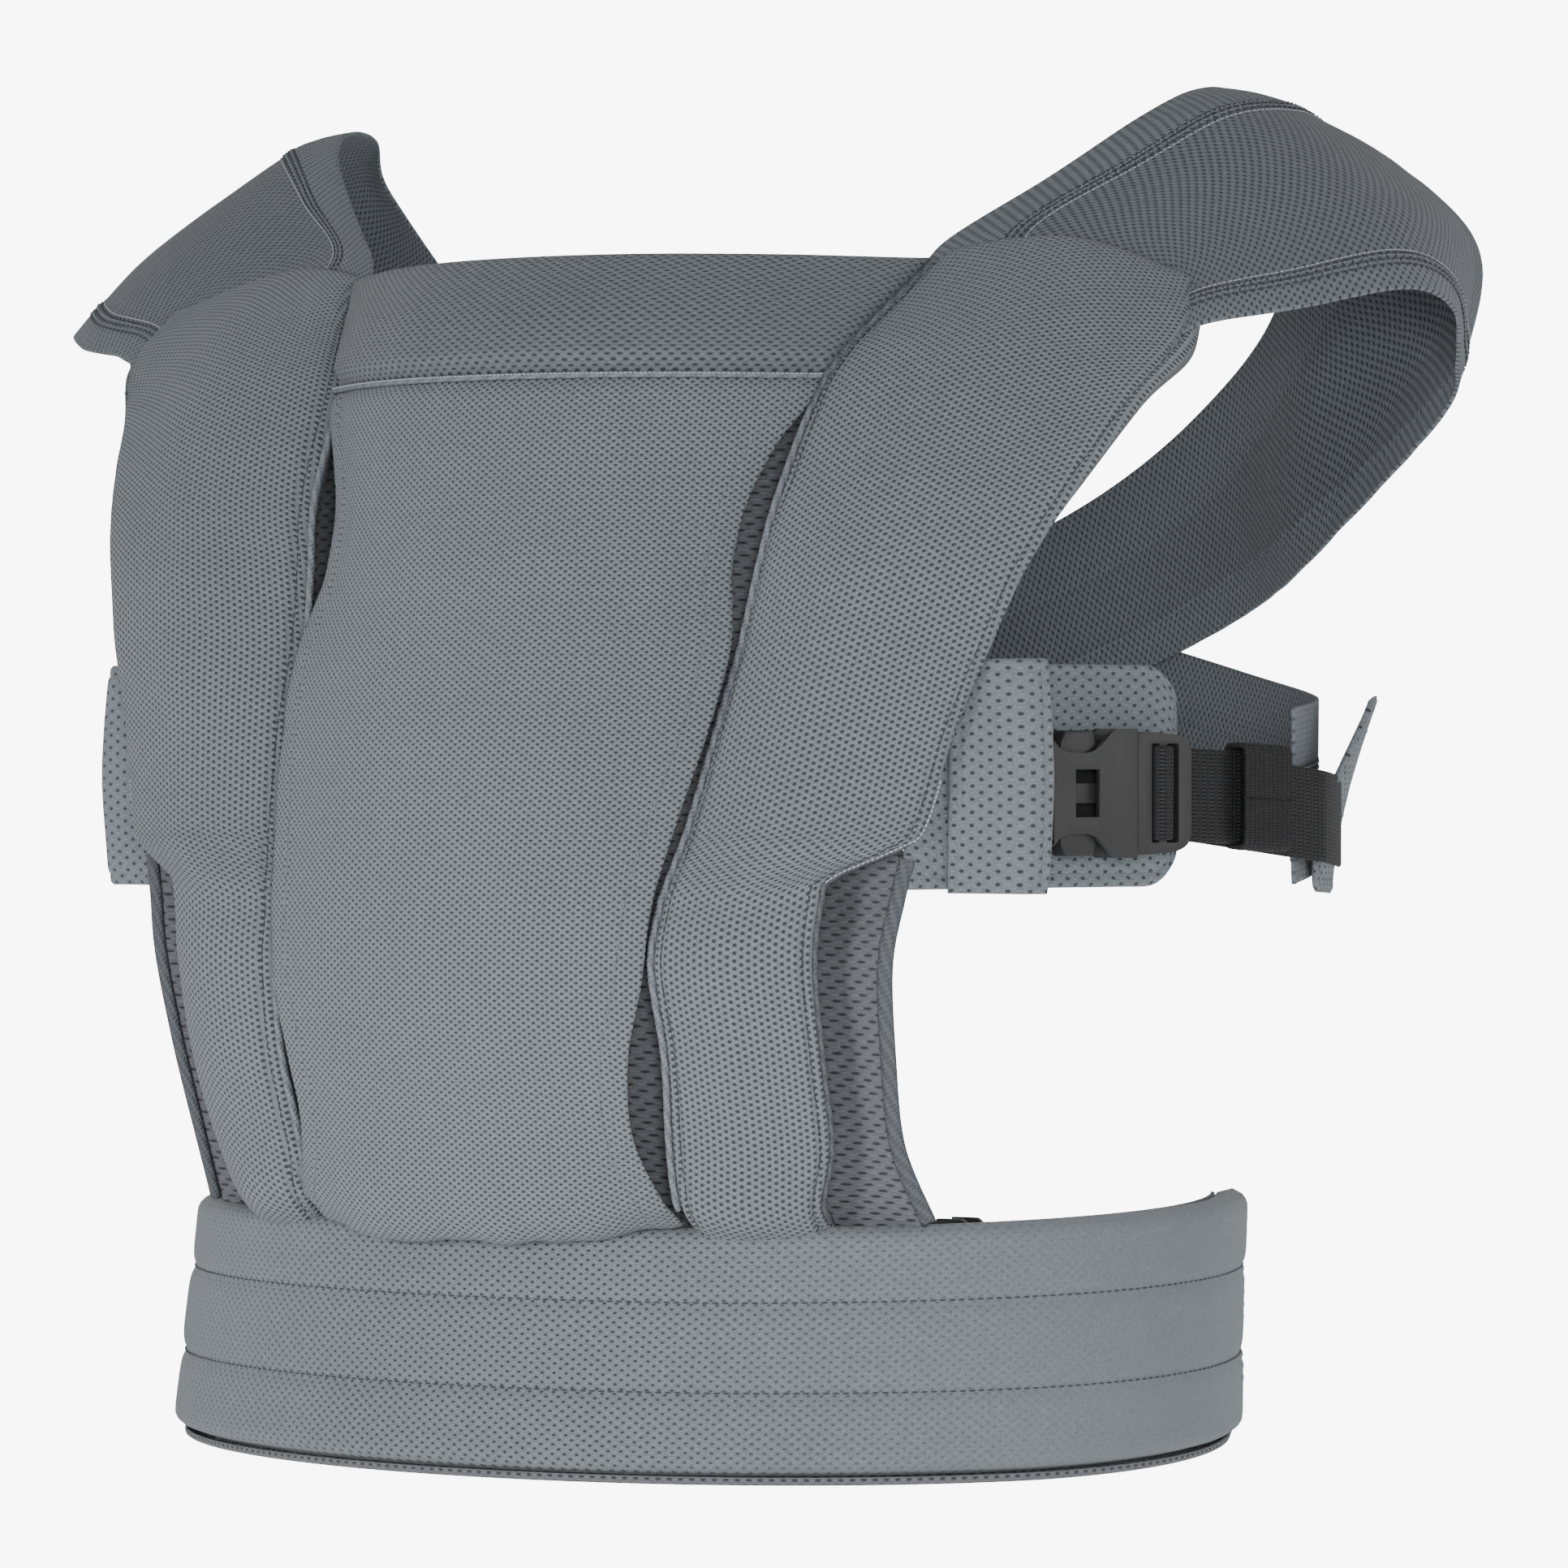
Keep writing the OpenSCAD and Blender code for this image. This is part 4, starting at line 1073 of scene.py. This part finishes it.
for side, name in SIDES:
    pad_put, put = side_frame(side, False), side_frame(side)
    S = Surface(facing(pad_put(pad_rows()), side), 66, 56)
    e = S.edge()
    close = rounded(e, 1.9)
    h = 0.1 + (1.1 + 0.5 * rounded(e - 4, 8) + 0.25 * S.noise(16, 111)) * close - 0.5 * dent(e, 3.4, 0.8)
    ob = sheet_solid("wing_pad_cloth_" + name, S, h, -0.1 - 1.3 * close, [wing_cloth])
    place(ob, "carrier", "main_fabric", "wing_pad_" + name)
    for v in (3.4 / 59, 1 - 3.4 / 59):
        sewn_line(S, h, v=v, u0=0.04, u1=0.96)
    sewn_line(S, h, side=-3.4 * side, v0=0.07, v1=0.93)

    flap_plan = [(-7, -2.2), (-2.5, -6), (5, -17.6), (14.2, -19.0)]
    fullness = ((-26, 0), (-18, 0.5), (4, 1), (26, 0.5), (35, 0))
    rows = np.array([[(x, y * (0.85 + 0.15 * full) - 1.5, z) for x, y in flap_plan] for z, full in fullness])
    S = Surface(facing(pad_put(rows), side), 40, 60)
    e = S.edge()
    h = 0.9 + 0.6 * rounded(e, 1.4) - 0.4 * dent(e, 3.0, 0.8) + 0.35 * S.noise(14, 121, along=0.6) * rounded(e, 5)
    ob = sheet_solid("wing_flap_cloth_" + name, S, h, h - 1.2, [wing_cloth])
    place(ob, "carrier", "main_fabric", "wing_flap_" + name)
    sheets.append((ob, S, "stretched"))
    sewn_line(S, h, side=-3.0 * side, v0=0.04, v1=0.96)

    path = anchor_path(33, 9, 14)
    ribbon("anchor_webbing_weave_" + name, "carrier", "anchor_webbing_" + name, path, SIDE_WEB, put, 3)
    c, d = math.cos(SIDE_TURN), math.sin(SIDE_TURN)
    ends = []
    for phi in np.radians((99, 97, 95, 93, 91)):
        x, y = (BACK_X + 6.4) * math.sin(phi) - 125, BACK_C - (BACK_Y + 6.4) * math.cos(phi) + 98
        ends.append((c * x + d * y - 47, -d * x + c * y + 6.9, -0.12 * (c * x + d * y - 71)))
    path = pull_path(9, ends, 60, 1.2)
    released = "strap_release_" + name
    ribbon("side_webbing_weave_" + name, released, "side_webbing_" + name, path, SIDE_WEB, put, 4, 0.2)
    keeper_ring("webbing_keeper_elastic_" + name, "keeper_" + name, "webbing_keeper_" + name, SIDE_WEB, put, 1.2)
    bodies = ("carrier", released, "prong_upper_" + name, "prong_lower_" + name)
    buckle("side", "_" + name, bodies, (female_outline(33, 17), male_outline(16.6), None, None), put)

path = anchor_path(38, 11, 22)
ribbon("waist_webbing_weave_left", "carrier", "waist_webbing_left", path, WAIST_WEB, back_put, 5)
path = pull_path(11, [(78, 2.7, 0)], 60, 0.0)
ribbon("waist_webbing_weave_right", "waist_release", "waist_webbing_right", path, WAIST_WEB, back_put, 6, 0.2)
keeper_ring("waist_keeper_elastic", "waist_keeper", "waist_keeper", WAIST_WEB, back_put)
bodies = ("carrier", "waist_release", "waist_prong_upper", "waist_prong_lower")
buckle("waist", "", bodies, (female_outline(38, 23.5), male_outline(23.1), None, None), back_put)

# ---- threads, the sheets' width and area (computed, not used), stage
for (body, kind), made in threads.items():
    ob = made.build("stitches_" + body + "_" + kind, THREADS[kind])
    place(ob, body, "piping")
for ob, S, held in sheets:
    wide = float(S.width.max()) * 0.001
    S.area() * 1e-6

def seen_or_not(tree, seen, other, socket):
    """One strength for the camera's own rays and another for the light that reaches the part."""
    n = tree.nodes.new("ShaderNodeMapRange")
    set_inputs(n, To_Min=other, To_Max=seen)
    tree.links.new(tree.nodes.new("ShaderNodeLightPath").outputs["Is Camera Ray"], n.inputs["Value"])
    tree.links.new(n.outputs["Result"], socket)


world = scene.world = scene.world or bpy.data.worlds.new("studio")
world.use_nodes = True
sky = world.node_tree.nodes["Background"]
sky.inputs[0].default_value = (1, 1, 1, 1)
seen_or_not(world.node_tree, 9.0, 0.26, sky.inputs[1])


def area_light(name, loc, target, size, power, spread=180):
    data = bpy.data.lights.new(name, "AREA")
    data.shape = "DISK"
    data.size = size
    data.energy = power
    data.spread = math.radians(spread)
    ob = bpy.data.objects.new(name, data)
    ob.location = loc
    ob.rotation_euler = (Vector(loc) - Vector(target)).to_track_quat("Z", "Y").to_euler()
    scene.collection.objects.link(ob)


area_light("key", (1.0, -1.5, 0.26), (0.06, -0.05, 0.03), 0.5, 1.45, 44)
area_light("front", (-0.15, -1.75, 0.26), (-0.07, -0.05, 0.03), 0.5, 1.2, 44)
area_light("fill", (-1.5, -1.0, 0.4), (0, 0, 0.16), 0.8, 3.5)
area_light("side", (1.8, 0.3, 0.5), (0, 0, 0.2), 0.8, 6)
area_light("top", (-0.2, 0.5, 1.7), (0, 0, 0.25), 0.9, 4)

floor_mesh = bpy.data.meshes.new("floor")
curve = [(3.0 + 1.5 * math.sin(a), 1.5 - 1.5 * math.cos(a)) for a in np.linspace(0, math.pi / 2, 13)]
bend = [(-8.0, 0.0)] + curve + [(4.5, 9.0)]  # (y, z) of a sheet of paper swept up behind the part
rows = [(x, y, z - 0.0004) for y, z in bend for x in (-9.0, 9.0)]
floor_mesh.from_pydata(rows, [], [(2 * i, 2 * i + 1, 2 * i + 3, 2 * i + 2) for i in range(len(bend) - 1)])
floor_mesh.polygons.foreach_set("use_smooth", np.ones(len(bend) - 1, bool))
floor = bpy.data.objects.new("floor", floor_mesh)
scene.collection.objects.link(floor)
m = Nodes("floor_paper")
m.colour(m.mix(m.noise(3.0), (0.88, 0.88, 0.88), (0.92, 0.92, 0.92)))
m.set(Roughness=0.95, Emission_Color=(1, 1, 1, 1))
seen_or_not(m.nt, 8.0, 0.5, m.p.inputs["Emission Strength"])
floor.data.materials.append(m.mat)
